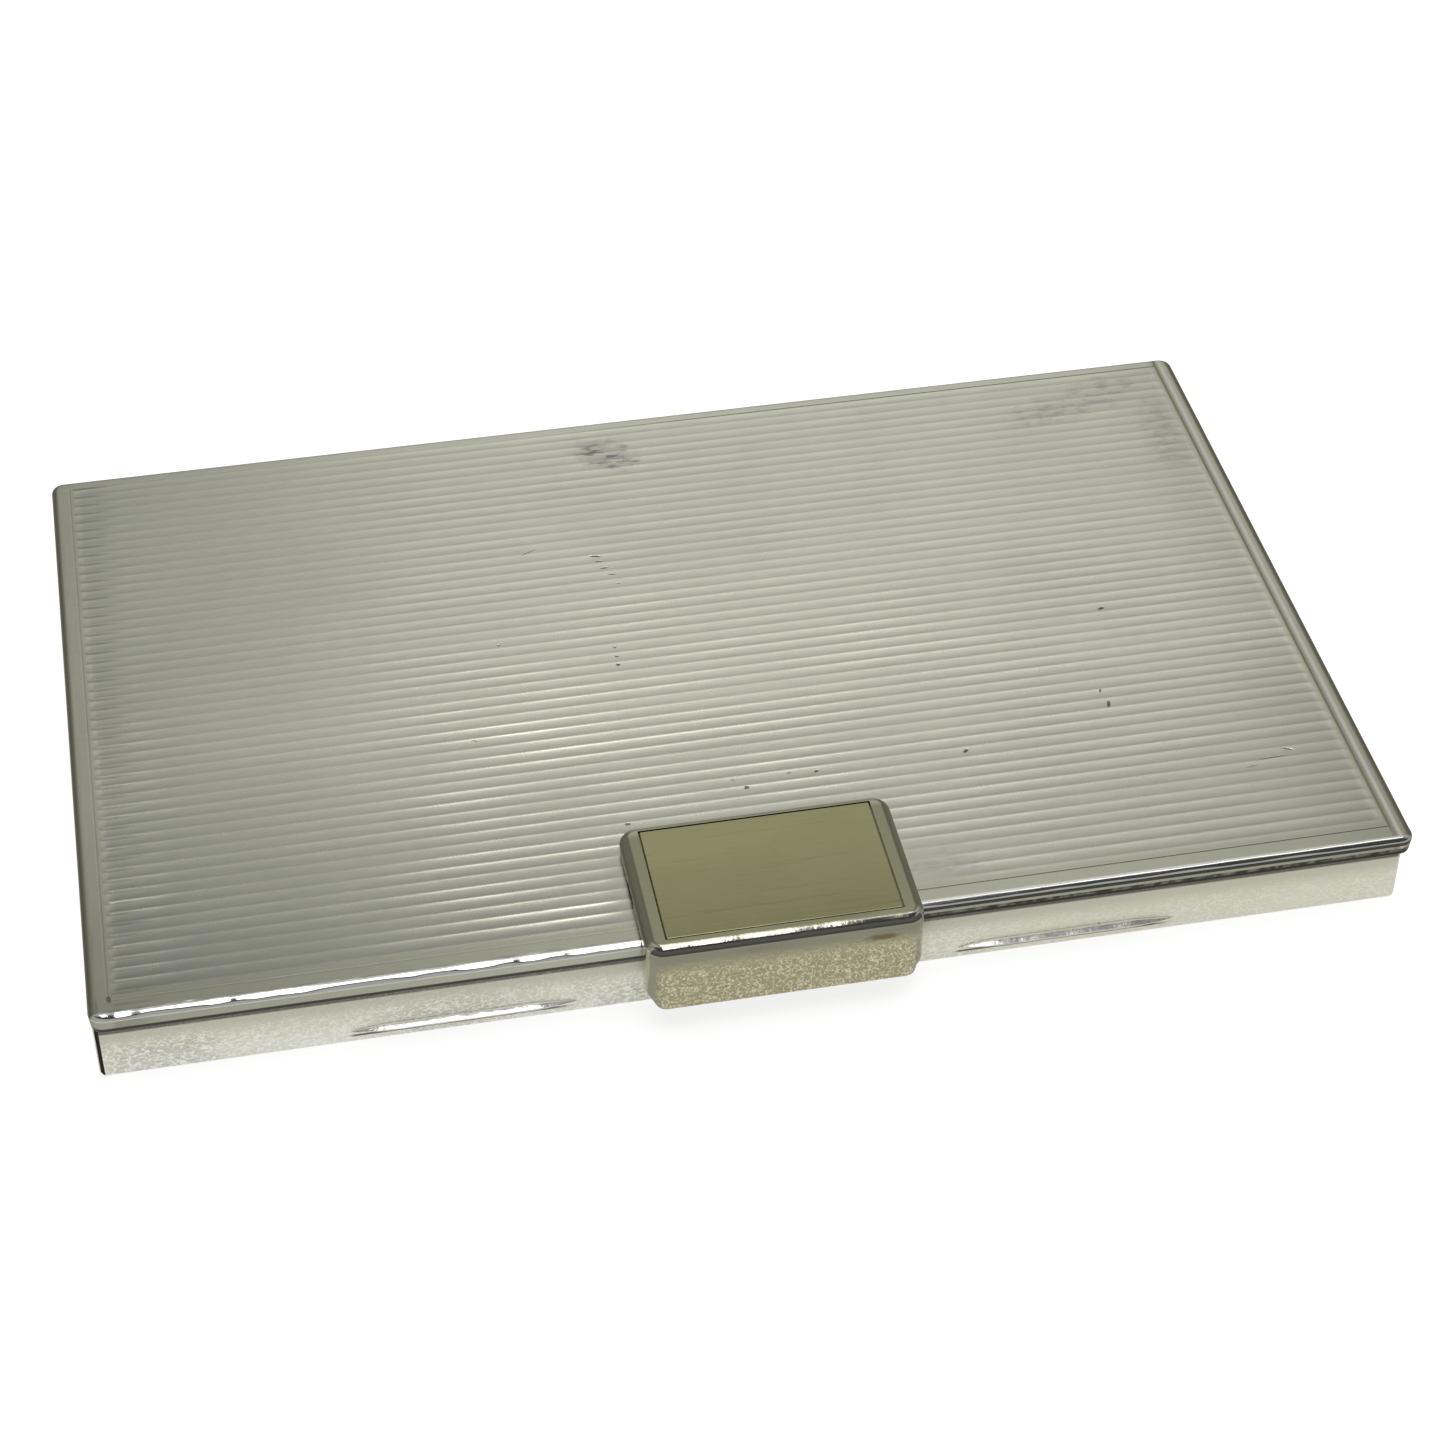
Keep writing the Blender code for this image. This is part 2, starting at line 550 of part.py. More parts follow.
def skirt_corner(edge_x, sign):
    """What lies outside the rounding of the skirt's bottom corner on one side."""
    low = LATCH_BOTTOM - LATCH_WALL
    past = edge_x + sign * LATCH_WALL
    centre = (edge_x - sign * LATCH_FOOT_ROUND, LATCH_BOTTOM + LATCH_FOOT_ROUND)
    outline = arc(centre, LATCH_FOOT_ROUND, 90 - 90 * sign, 90 - 180 * sign, 6)
    outline += [(centre[0], low), (past, low), (past, centre[1])]
    bm = bmesh.new()
    face = bm.faces.new([bm.verts.new((x, LATCH_FRONT - LATCH_WALL, z)) for x, z in outline])
    side = bmesh.ops.extrude_face_region(bm, geom=[face])
    moved = [v for v in side["geom"] if isinstance(v, bmesh.types.BMVert)]
    bmesh.ops.translate(bm, vec=(0, LATCH_DEPTH + 2 * LATCH_WALL, 0), verts=moved)
    return bm


def plate_area(grow):
    """The inlaid plate's extent in x and in y, grown by a clearance."""
    x_range = (LATCH_LEFT + PLATE_SIDE_MARGIN - grow, LATCH_RIGHT - PLATE_SIDE_MARGIN + grow)
    y_range = (LATCH_FRONT + PLATE_FRONT_MARGIN - grow, LATCH_BACK - PLATE_BACK_MARGIN + grow)
    return x_range, y_range


def thumb_plate(latch_axis):
    """Gold-tone plate let into the top of the thumb-piece, flush with it."""
    x_range, y_range = plate_area(0)
    make_object("thumb_plate", block(x_range, y_range, (LATCH_TOP - PLATE_THICKNESS, LATCH_TOP)),
                GOLD, latch_axis)


def latch_pivot(latch_axis):
    """Pin through bracket and lugs, and the two lugs soldered inside the thumb-piece."""
    inside = LATCH_WIDTH / 2 - LATCH_WALL - SEAT_GAP
    ends = (LATCH_OFFSET - inside, LATCH_OFFSET + inside)
    make_object("latch_pin", rod_x(PIVOT_PIN_RADIUS, ends, PIVOT_Y, PIVOT_Z, 16), STEEL, latch_axis)
    roof = CEILING_Z - SEAT_GAP
    outline = arc((PIVOT_Y, PIVOT_Z), EAR_RADIUS, 180, 360, 10)
    outline += [(PIVOT_Y + EAR_RADIUS, roof), (PIVOT_Y - EAR_RADIUS, roof)]
    for side, sign in (("left", -1), ("right", 1)):
        x_range = sorted((LATCH_OFFSET + sign * inside, LATCH_OFFSET + sign * (inside - LUG_LENGTH)))
        lug = make_object(f"cover_lug_{side}", profile_bar(outline, x_range), LATCH_METAL, latch_axis)
        bore = rod_x(PIVOT_PIN_RADIUS + RUN_GAP, (x_range[0] - SHEET, x_range[1] + SHEET), PIVOT_Y, PIVOT_Z)
        cut(lug, bore, f"cut_lug_bore_{side}")


def latch_hook(latch_axis):
    """Bar inside the skirt whose tip catches under the keeper."""
    root = LATCH_FRONT + LATCH_WALL + SEAT_GAP
    tip = BASE_FRONT - HOOK_TIP_GAP
    top = KEEPER_BOTTOM - HOOK_LIFT
    low = top - HOOK_HEIGHT
    outline = [(root, low), (tip, top - HOOK_HEIGHT / 2), (tip, top), (root, top)]
    half = HOOK_WIDTH / 2
    make_object("latch_hook", profile_bar(outline, (LATCH_OFFSET - half, LATCH_OFFSET + half)),
                LATCH_METAL, latch_axis)


def build_case():
    clear_scene()
    lid_axis = make_axis("lid_axis", HINGE_Y, HINGE_Z)
    latch_axis = make_axis("latch_axis", PIVOT_Y, PIVOT_Z, lid_axis)
    base_tray()
    edge_bearers()
    hinge_bearers(lid_axis)
    hinge_barrel(lid_axis)
    grip_beads()
    keeper()
    lid_shell(lid_axis)
    latch_bracket(lid_axis)
    latch_rivets(lid_axis)
    latch_spring(lid_axis)
    thumb_cover(latch_axis)
    thumb_plate(latch_axis)
    latch_pivot(latch_axis)
    latch_hook(latch_axis)


build_case()
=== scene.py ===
# Business card case: fluted silver lid, plain frosted tray and a rocking thumb latch with a gilt plate.
import math
import bmesh
import bpy
from mathutils import Matrix, Vector, noise


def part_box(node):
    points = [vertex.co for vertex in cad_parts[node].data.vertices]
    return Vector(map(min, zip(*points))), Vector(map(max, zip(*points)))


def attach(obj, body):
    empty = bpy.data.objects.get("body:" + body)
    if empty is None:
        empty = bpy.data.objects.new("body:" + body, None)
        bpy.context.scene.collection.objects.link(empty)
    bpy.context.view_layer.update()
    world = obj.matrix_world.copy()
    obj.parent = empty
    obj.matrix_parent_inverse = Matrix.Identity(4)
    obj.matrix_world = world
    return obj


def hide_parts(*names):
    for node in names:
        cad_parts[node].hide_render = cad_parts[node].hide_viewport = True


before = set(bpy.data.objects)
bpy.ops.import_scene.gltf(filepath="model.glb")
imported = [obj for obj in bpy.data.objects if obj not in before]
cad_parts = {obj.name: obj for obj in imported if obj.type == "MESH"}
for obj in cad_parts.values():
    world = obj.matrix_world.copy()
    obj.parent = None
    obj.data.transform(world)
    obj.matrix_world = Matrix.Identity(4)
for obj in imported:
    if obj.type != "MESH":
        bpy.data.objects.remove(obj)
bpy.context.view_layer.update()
mm = 0.001

# camera: where it looks from, in degrees and mm
viewPoint = {"turn": -11.2, "rise": 41.33, "roll": 0.17, "away": 255.0, "right": 2.43, "up": -0.66,
             "lens": 81.14}


def placeCamera():
    turn, rise, roll = (math.radians(viewPoint[k]) for k in ("turn", "rise", "roll"))
    back = Vector((math.sin(turn) * math.cos(rise), -math.cos(turn) * math.cos(rise), math.sin(rise)))
    side = Vector((math.cos(turn), math.sin(turn), 0))
    top = back.cross(side)
    right = side * math.cos(roll) + top * math.sin(roll)
    up = top * math.cos(roll) - side * math.sin(roll)
    place = (back * viewPoint["away"] + right * viewPoint["right"] + up * viewPoint["up"]) * mm
    lens = bpy.data.cameras.new("caseCamera")
    lens.lens = viewPoint["lens"]
    lens.sensor_width = 36
    lens.clip_start = 0.01
    camera = bpy.data.objects.new("caseCamera", lens)
    camera.matrix_world = Matrix((right, up, back)).transposed().to_4x4()
    camera.location = place
    bpy.context.scene.collection.objects.link(camera)
    bpy.context.scene.camera = camera


placeCamera()
print("camera placed")


# mesh helpers: every piece is a bmesh in the case's own frame
def newBox(low, high):
    bm = bmesh.new()
    bmesh.ops.create_cube(bm, size=1)
    low, high = Vector(low), Vector(high)
    bmesh.ops.scale(bm, vec=high - low, verts=bm.verts)
    bmesh.ops.translate(bm, vec=(low + high) / 2, verts=bm.verts)
    return bm


def runsAlong(bm, axis):
    picked = []
    for edge in bm.edges:
        run = edge.verts[1].co - edge.verts[0].co
        if abs(run[axis]) > 0.99 * run.length:
            picked.append(edge)
    return picked


def liesAt(bm, axis, value):
    return [e for e in bm.edges if all(abs(v.co[axis] - value) < 1e-6 for v in e.verts)]


def roundOff(bm, edges, radius, steps):
    bmesh.ops.bevel(bm, geom=edges, offset=radius, offset_type="OFFSET", segments=steps,
                    profile=0.5, affect="EDGES", clamp_overlap=True, material=-1)


def raise3d(bm, points, shift):
    # a flat outline carried along a vector
    face = bm.faces.new([bm.verts.new(p) for p in points])
    grown = bmesh.ops.extrude_face_region(bm, geom=[face])["geom"]
    bmesh.ops.translate(bm, vec=shift, verts=[g for g in grown if isinstance(g, bmesh.types.BMVert)])
    bmesh.ops.recalc_face_normals(bm, faces=bm.faces)


def arcPoints(centre, radius, start, end, steps):
    points = []
    for i in range(steps + 1):
        angle = math.radians(start + (end - start) * i / steps)
        points.append((centre[0] + radius * math.cos(angle), centre[1] + radius * math.sin(angle)))
    return points


def asPiece(bm, name, crease=30, weighted=True):
    mesh = bpy.data.meshes.new(name)
    bm.to_mesh(mesh)
    bm.free()
    mesh.shade_smooth()
    mesh.set_sharp_from_angle(angle=math.radians(crease))
    piece = bpy.data.objects.new(name, mesh)
    bpy.context.scene.collection.objects.link(piece)
    if weighted:
        keepFlat = piece.modifiers.new("keepFlat", "WEIGHTED_NORMAL")
        keepFlat.keep_sharp = True
    return piece


def carve(bm, cutters):
    # takes the cutters' shapes out of a closed bmesh and returns the result as a new bmesh
    mesh = bpy.data.meshes.new("carved")
    bm.to_mesh(mesh)
    bm.free()
    body = bpy.data.objects.new("carved", mesh)
    bpy.context.scene.collection.objects.link(body)
    tools = []
    for i, cutterBm in enumerate(cutters):
        toolMesh = bpy.data.meshes.new(f"cutter{i}")
        cutterBm.to_mesh(toolMesh)
        cutterBm.free()
        tool = bpy.data.objects.new(f"cutter{i}", toolMesh)
        bpy.context.scene.collection.objects.link(tool)
        cut = body.modifiers.new(f"cut{i}", "BOOLEAN")
        cut.operation = "DIFFERENCE"
        cut.solver = "EXACT"
        cut.object = tool
        tools.append(tool)
    shape = body.evaluated_get(bpy.context.evaluated_depsgraph_get()).to_mesh()
    result = bmesh.new()
    result.from_mesh(shape)
    for obj in [body] + tools:
        mesh = obj.data
        bpy.data.objects.remove(obj, do_unlink=True)
        bpy.data.meshes.remove(mesh)
    bmesh.ops.remove_doubles(result, verts=result.verts, dist=1e-7)
    return result


def settle(piece, body, slot, material, *nodes):
    # gives a piece its material and body, and hides the CAD nodes that it stands for; slot is not used
    piece.data.materials.clear()
    piece.data.materials.append(material)
    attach(piece, body)
    if nodes:
        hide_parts(*nodes)


class Nodes:
    # a short way to write node trees; a colour is a socket or (red, green, blue)
    def __init__(self, owner):
        owner.use_nodes = True
        self.tree = owner.node_tree
        self.shader = self.tree.nodes.get("Principled BSDF")

    def add(self, kind, **wanted):
        node = self.tree.nodes.new("ShaderNode" + kind)
        for key, value in wanted.items():
            if key.startswith("in_"):
                name = key[3:]
                self.feed(node.inputs[int(name) if name.isdigit() else name.replace("_", " ")], value)
            else:
                setattr(node, key, value)
        return node

    def feed(self, socket, value):
        if isinstance(value, bpy.types.NodeSocket):
            self.tree.links.new(value, socket)
        else:
            socket.default_value = value

    def give(self, name, value):
        self.feed(self.shader.inputs[name], value)

    def maths(self, operation, a, b=0.0):
        return self.add("Math", operation=operation, in_0=a, in_1=b).outputs[0]

    def times(self, a, b):
        return self.maths("MULTIPLY", a, b)

    def plus(self, a, b):
        return self.maths("ADD", a, b)

    def less(self, a, b):
        return self.maths("SUBTRACT", a, b)

    def rest(self, a):
        return self.maths("SUBTRACT", 1.0, a)

    def most(self, a, b):
        return self.maths("MAXIMUM", a, b)

    def size(self, a):
        return self.maths("ABSOLUTE", a)

    def noise(self, where, scale, detail=2.0, rough=0.5):
        return self.add("TexNoise", in_Vector=where, in_Scale=scale, in_Detail=detail,
                        in_Roughness=rough).outputs["Fac"]

    def span(self, value, fromLow, fromHigh, toLow, toHigh, smooth=True):
        node = self.add("MapRange", interpolation_type="SMOOTHSTEP" if smooth else "LINEAR", in_Value=value)
        for i, limit in enumerate((fromLow, fromHigh, toLow, toHigh)):
            self.feed(node.inputs[i + 1], limit)
        return node.outputs[0]

    def fade(self, place, start, end, first=0, last=1, smooth=True):
        # goes from first to last between two places in mm
        return self.span(place, start * mm, end * mm, first, last, smooth)

    def band(self, place, start, full, lessen, end, most=1):
        # rises from 0 between start and full, and falls to 0 again between lessen and end, in mm
        return self.times(self.fade(place, start, full, 0, most), self.fade(place, lessen, end, 1, 0))

    def mix(self, amount, a, b):
        node = self.add("Mix", data_type="RGBA")
        self.feed(node.inputs[0], amount)
        for socket, colour in ((node.inputs[6], a), (node.inputs[7], b)):
            self.feed(socket, (*colour, 1) if isinstance(colour, tuple) else colour)
        return node.outputs[2]

    def stretch(self, where, scale, turn=(0, 0, 0)):
        return self.add("Mapping", in_Vector=where, in_Scale=scale, in_Rotation=turn).outputs[0]

    def bump(self, height, strength, distance, under=None):
        node = self.add("Bump", in_Height=height, in_Strength=strength, in_Distance=distance)
        if under is not None:
            self.feed(node.inputs["Normal"], under)
        return node.outputs[0]


def newMetal(name, colour):
    material = bpy.data.materials.new(name)
    nodes = Nodes(material)
    nodes.give("Metallic", 1.0)
    nodes.give("Base Color", (*colour, 1))
    nodes.where = nodes.add("TexCoord").outputs["Object"]
    nodes.x, nodes.y, nodes.z = nodes.add("SeparateXYZ", in_Vector=nodes.where).outputs
    return material, nodes


def spotMask(nodes, centre, size, turn, soft, ragged):
    # 1 inside an ellipse and 0 outside: brought to its centre, turned, and scaled to a circle; in mm
    moved = nodes.add("VectorMath", operation="SUBTRACT", in_0=nodes.where,
                      in_1=(centre[0] * mm, centre[1] * mm, 0)).outputs[0]
    turned = nodes.add("VectorRotate", rotation_type="Z_AXIS", in_Vector=moved,
                       in_Angle=-math.radians(turn)).outputs[0]
    scaled = nodes.add("VectorMath", operation="MULTIPLY", in_0=turned,
                       in_1=(2 / (size[0] * mm), 2 / (size[1] * mm), 0)).outputs[0]
    reach = nodes.add("VectorMath", operation="LENGTH", in_0=scaled).outputs["Value"]
    rough = nodes.noise(nodes.where, 900, 3)
    reach = nodes.plus(reach, nodes.times(nodes.less(rough, 0.5), ragged))
    return nodes.span(reach, 1 + soft, 1 - soft, 0, 1)


def spots(nodes, rows, shrink, soft, ragged):
    # the strongest at each place of a list of spots
    found = None
    for x, y, length, width, turn, strength in rows:
        size = (length * shrink[0], width * shrink[1])
        spot = nodes.times(spotMask(nodes, (x, y), size, turn, soft, ragged), strength)
        found = spot if found is None else nodes.most(found, spot)
    return found


# the lid's sizes in mm; evenTo and columns set the even part of its mesh
lidShape = {"halfX": 47.5, "halfY": 30.7, "round": 0.48, "corner": 1.0, "lift": 0.05, "crown": 0.10,
            "lineSide": 46.05, "lineFront": -29.05, "lineBack": 29.6, "lineWidth": 0.13, "lineDepth": 0.012,
            "fieldSide": 45.85, "fieldFront": -28.7, "fieldBack": 29.4, "pitch": 1.1135, "phase": 0.42,
            "depth": 0.056, "runOut": 0.6, "tuck": 0.10, "lip": 0.2, "rim": 1.0, "sheet": 0.6,
            "evenTo": 44.9, "columns": 138}


def ease(value):
    value = min(1.0, max(0.0, value))
    return value * value * (3 - 2 * value)


def wander(x, y, seed, size=6.0):
    # smooth, repeatable waviness between about -1 and 1; size is its usual length in mm
    return noise.noise((x / size, y / size, seed * 7.3)) * 1.6


def evenly(start, end, count):
    return [start + (end - start) * i / count for i in range(count + 1)]


def lineAcross():
    # where the mesh has edges across an engraved line
    half = lidShape["lineWidth"] / 2
    return [-half - 0.04, -half, 0, half, half + 0.04]


def lidColumns():
    # places across the lid where the mesh has an edge: close together at corners, line and run-outs
    s = lidShape
    edge = s["halfX"] - s["round"]
    core = s["halfX"] - s["corner"]
    right = evenly(core, edge, 3)[1:] + [core]
    right += [s["lineSide"] + across for across in lineAcross()]
    right += evenly(s["fieldSide"] - s["runOut"], s["fieldSide"], 5)
    both = right + [-x for x in right]
    both += evenly(-s["evenTo"], s["evenTo"], s["columns"])
    return tidy(both)


def lidRows():
    # the same from front to back, with five rows to each flute
    s = lidShape
    edge = s["halfY"] - s["round"]
    core = s["halfY"] - s["corner"]
    rows = evenly(core, edge, 3) + [-y for y in evenly(core, edge, 3)]
    for line in (s["lineFront"], s["lineBack"]):
        rows += [line + across for across in lineAcross()]
    for i in range(round((s["fieldBack"] - s["fieldFront"]) / s["pitch"])):
        rows += [s["fieldFront"] + (i + s["phase"] + t) * s["pitch"] for t in (-0.07, 0, 0.07, 0.32, 0.68)]
    rows += [s["fieldBack"], s["fieldBack"] + 0.12, s["fieldFront"] - 0.12]
    return tidy(rows)


def tidy(places, near=0.02):
    # in order, without places that all but meet
    kept = []
    for place in sorted(places):
        if not kept or place - kept[-1] > near:
            kept.append(place)
    return kept


def fluteDepth(x, y):
    # hollow flutes that meet in crests; they run out at their ends and where the lid is rubbed smooth
    s = lidShape
    if not s["fieldFront"] <= y <= s["fieldBack"]:
        return 0.0
    along = (y - s["fieldFront"]) / s["pitch"] - s["phase"]
    number = math.floor(along)
    part = along - number
    hollow = 4 * part * (1 - part)
    swell = 0.12 * math.sin(number * 2.1 + 0.5)
    drift = 0.25 * wander(x, number * 3.0, 4.0, 9.0)
    depth = s["depth"] * (1 + swell + drift)
    runOut = ease((s["fieldSide"] - abs(x)) / s["runOut"])
    runOut *= ease((y - s["fieldFront"]) / 0.3) * ease((s["fieldBack"] - y) / 0.2)
    # rubbed away on the right of the latch and round it, and faint towards the left and the back
    wearAndSheen = 1 - 0.85 * ease((17.5 - x) / 5.5) * ease((x - 9.0) / 1.0) * ease((-23.0 - y) / 3.0)
    beside = 1 - 0.75 * ease((x + 11.0) / 1.9) * ease((11.0 - x) / 1.0) * ease((-20.5 - y) / 1.0)
    leftFaint = 1 - 0.6 * ease((-17.0 - x) / 13.0) * ease((x + 46.0) / 8.0)
    backFaint = 1 - 0.35 * ease((y + 6.0) / 22.0)
    return depth * hollow * runOut * wearAndSheen * beside * (leftFaint * backFaint)


def lineDepth(x, y):
    # the fine engraved frame round the field
    s = lidShape
    reach = 1e3
    if s["lineFront"] - 0.1 <= y <= s["lineBack"] + 0.1:
        reach = min(reach, abs(abs(x) - s["lineSide"]))
    if abs(x) <= s["lineSide"] + 0.1:
        reach = min(reach, abs(y - s["lineFront"]), abs(y - s["lineBack"]))
    return s["lineDepth"] * max(0.0, 1 - reach / (s["lineWidth"] / 2))


edgeSteps = 10  # rings round the rounded edge
wearSplit = 0.8  # left of this place, in mm, the rounded edge is worn more unevenly


def edgeStep(x, y, i):
    # the lid's rounded edge: rubbed flatter in some places and fuller in others
    s = lidShape
    front = ease((-29.0 - y) / 1.0)
    onLeft = x < wearSplit
    worn = wander(x, 0, 5.0, 2.0) * 24.0 + wander(x, 0, 9.0, 5.0) * 7.0 - (1.5 if onLeft else 2.0)
    worn *= front * (1.0 if onLeft else 0.3) + 0.1
    worn = max(-9.2, min(9.0, worn))
    tilts = []
    for k in range(edgeSteps):
        share = (k + 0.5) / edgeSteps
        tilts.append(math.radians(90 * share - worn * math.sin(3 * math.pi * share)))
    wide, deep = sum(math.cos(t) for t in tilts), sum(math.sin(t) for t in tilts)
    return s["round"] * math.cos(tilts[i]) / wide, (s["round"] - s["lift"]) * math.sin(tilts[i]) / deep


def lidSkin():
    # the top as one grid, its rim let down loop by loop
    s = lidShape
    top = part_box("lid_shell")[1].z / mm
    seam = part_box("lid_shell")[0].z / mm
    columns, rows = lidColumns(), lidRows()
    bm = bmesh.new()
    bmesh.ops.create_grid(bm, x_segments=len(columns) - 1, y_segments=len(rows) - 1, size=1)
    edgeX, edgeY = columns[-1], rows[-1]
    coreX, coreY = s["halfX"] - s["corner"], s["halfY"] - s["corner"]
    lipRadius = s["corner"] - s["round"]
    for vert in bm.verts:
        x = columns[round((vert.co.x + 1) / 2 * (len(columns) - 1))]
        y = rows[round((vert.co.y + 1) / 2 * (len(rows) - 1))]
        sink = fluteDepth(x, y) + lineDepth(x, y)
        outX, outY = max(0, abs(x) - coreX) / lipRadius, max(0, abs(y) - coreY) / lipRadius
        if outX > 0 and outY > 0:
            pull = max(outX, outY) / math.hypot(outX, outY)
            x = math.copysign(coreX + outX * pull * lipRadius, x)
            y = math.copysign(coreY + outY * pull * lipRadius, y)
        crown = s["crown"] * (1 - (x / edgeX) ** 2) * (1 - (y / edgeY) ** 2)
        vert.co = (x, y, top - s["lift"] - sink + crown * (0.9 + 0.1 * wander(x, y, 2.0, 14.0)))
    loop = [e for e in bm.edges if e.is_boundary]

    def letDown(loop, step):
        # one more ring round the edge; step gives how far out and down it goes from each place
        grown = bmesh.ops.extrude_edge_only(bm, edges=loop)["geom"]
        for vert in (g for g in grown if isinstance(g, bmesh.types.BMVert)):
            away = Vector((vert.co.x - max(-coreX, min(coreX, vert.co.x)),
                           vert.co.y - max(-coreY, min(coreY, vert.co.y)), 0)).normalized()
            out, down = step(vert.co.x, vert.co.y)
            vert.co += away * out
            vert.co.z -= down
        return [g for g in grown if isinstance(g, bmesh.types.BMEdge) and g.is_boundary]

    for i in range(edgeSteps):
        loop = letDown(loop, lambda x, y: edgeStep(x, y, i))
    band = top - s["round"] - seam - s["lip"]
    for share in (0.5, 0.5):
        loop = letDown(loop, lambda x, y: (-s["tuck"] * share, band * share))
    for i in range(3):
        a0, a1 = (math.radians(90 * k / 3) for k in (i, i + 1))
        loop = letDown(loop, lambda x, y: (s["lip"] * (math.cos(a1) - math.cos(a0)),
                                           s["lip"] * (math.sin(a1) - math.sin(a0))))
    bmesh.ops.contextual_create(bm, geom=loop)
    bmesh.ops.recalc_face_normals(bm, faces=bm.faces)
    bmesh.ops.scale(bm, vec=(mm, mm, mm), verts=bm.verts)
    return bm


def lidUnderside():
    # what is taken out below: the hollow under the top sheet, and the back rim where the hinge lies
    low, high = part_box("lid_shell")
    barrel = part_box("base_knuckle_1")[0]
    rim, sheet = lidShape["rim"] * mm, lidShape["sheet"] * mm
    corner = [(high.x - rim, low.y + rim), (high.x - rim, barrel.y - 0.1 * mm),
              (high.x + rim, barrel.y - 0.1 * mm), (high.x + rim, high.y + rim)]
    outline = corner + [(-x, y) for x, y in reversed(corner)]
    bm = bmesh.new()
    floor = low.z - sheet
    raise3d(bm, [(x, y, floor) for x, y in outline], (0, 0, high.z - sheet - floor))
    return bm


def polishedSilver(name, colour, rough, tarnishAndShade=0.25, bloom=0.0):
    # plain silver for the small parts: faint tarnish, hairlines and soft dents
    material, nodes = newMetal(name, colour)
    nodes.give("Metallic", 1 - bloom)
    cloud = nodes.noise(nodes.where, 160, 4)
    tarnished = (colour[0] * 0.55, colour[1] * 0.5, colour[2] * 0.42)
    nodes.give("Base Color", nodes.mix(nodes.span(cloud, 0.45, 0.8, 0, tarnishAndShade), colour, tarnished))
    nodes.give("Roughness", nodes.span(nodes.noise(nodes.where, 700, 3), 0.3, 0.7, rough * 0.8, rough * 1.3))
    hairlines = nodes.noise(nodes.stretch(nodes.where, (1, 14, 14), (0, 0, 0.2)), 900, 2)
    lumps = nodes.bump(nodes.noise(nodes.where, 1400, 3), 0.5 * bloom, 0.0003)
    nodes.give("Normal", nodes.bump(hairlines, 0.25, 0.00002, lumps))
    return material


# marks on the lid: centre x, y, length, width in mm, turn in degrees, darkness
smudges = [
    (-2.4, 26.0, 4.4, 3.0, -35, 0.9), (-3.8, 27.4, 2.6, 2.0, 10, 0.45), (-0.7, 24.9, 2.0, 0.7, -15, 0.9),
    (38.0, 26.0, 11.0, 3.6, 20, 0.40), (44.0, 20.0, 3.0, 9.0, 0, 0.30), (13.4, -27.0, 6.0, 3.0, 0, 0.2)]
nicks = [
    (-5.4, 12.8, 1.0, 0.22, -12, 0.95), (-5.2, 12.1, 0.6, 0.2, 5, 0.8), (-4.9, 11.2, 0.7, 0.2, 5, 0.8),
    (-4.4, 10.3, 0.7, 0.16, -5, 0.8), (-4.1, 9.1, 0.5, 0.16, 0, 0.6), (-5.74, 1.4, 0.24, 0.24, 0, 0.6),
    (-5.76, 0.3, 0.3, 0.26, 0, 0.75), (-5.82, -0.7, 0.3, 0.3, 0, 0.9), (32.4, -1.1, 0.6, 0.3, 20, 0.95),
    (29.8, -12.2, 0.9, 0.26, 75, 0.9), (29.6, -10.6, 0.4, 0.16, 75, 0.7), (17.9, -15.3, 0.6, 0.3, 40, 0.95),
    (6.5, -15.4, 0.4, 0.26, 30, 0.95), (4.5, -15.2, 0.5, 0.14, 10, 0.6), (0.3, -15.2, 0.4, 0.14, 0, 0.5),
    (1.1, -16.2, 0.36, 0.26, 20, 0.9), (-10.5, 14.3, 1.5, 0.12, 28, 0.55), (40.0, -20.3, 2.6, 0.2, 4, 0.55),
    (41.5, -19.6, 1.0, 0.2, -25, 0.6), (38.4, -20.9, 1.2, 0.16, 10, 0.4), (-14.5, 3.3, 0.3, 0.22, 0, 0.5),
    (-17.8, -7.3, 0.5, 0.16, -40, 0.4), (-8.15, -18.4, 0.4, 0.3, 0, 0.8), (-46.0, -28.9, 0.3, 0.8, 8, 0.8)]

lidTones = {"silver": (0.88, 0.89, 0.735), "tarnishAndShade": (0.62, 0.61, 0.52), "grain": (0.55, 0.55, 0.47),
            "paintedShade": (0.0, 0.0, 0.0), "startShade": (0.2, 0.2, 0.15), "border": (0.55, 0.54, 0.39),
            "lineDark": (0.13, 0.12, 0.09), "brown": (0.38, 0.35, 0.22), "groove": (0.36, 0.35, 0.22),
            "lineHighlight": (1.0, 0.97, 0.90), "wearAndSheen": (0.98, 0.98, 0.95), "shadowDark": (0.05, 0.04, 0.03),
            "smudge": (0.30, 0.285, 0.30), "nick": (0.16, 0.15, 0.13), "inside": (0.86, 0.85, 0.74),
            "insideDull": (0.62, 0.58, 0.44)}


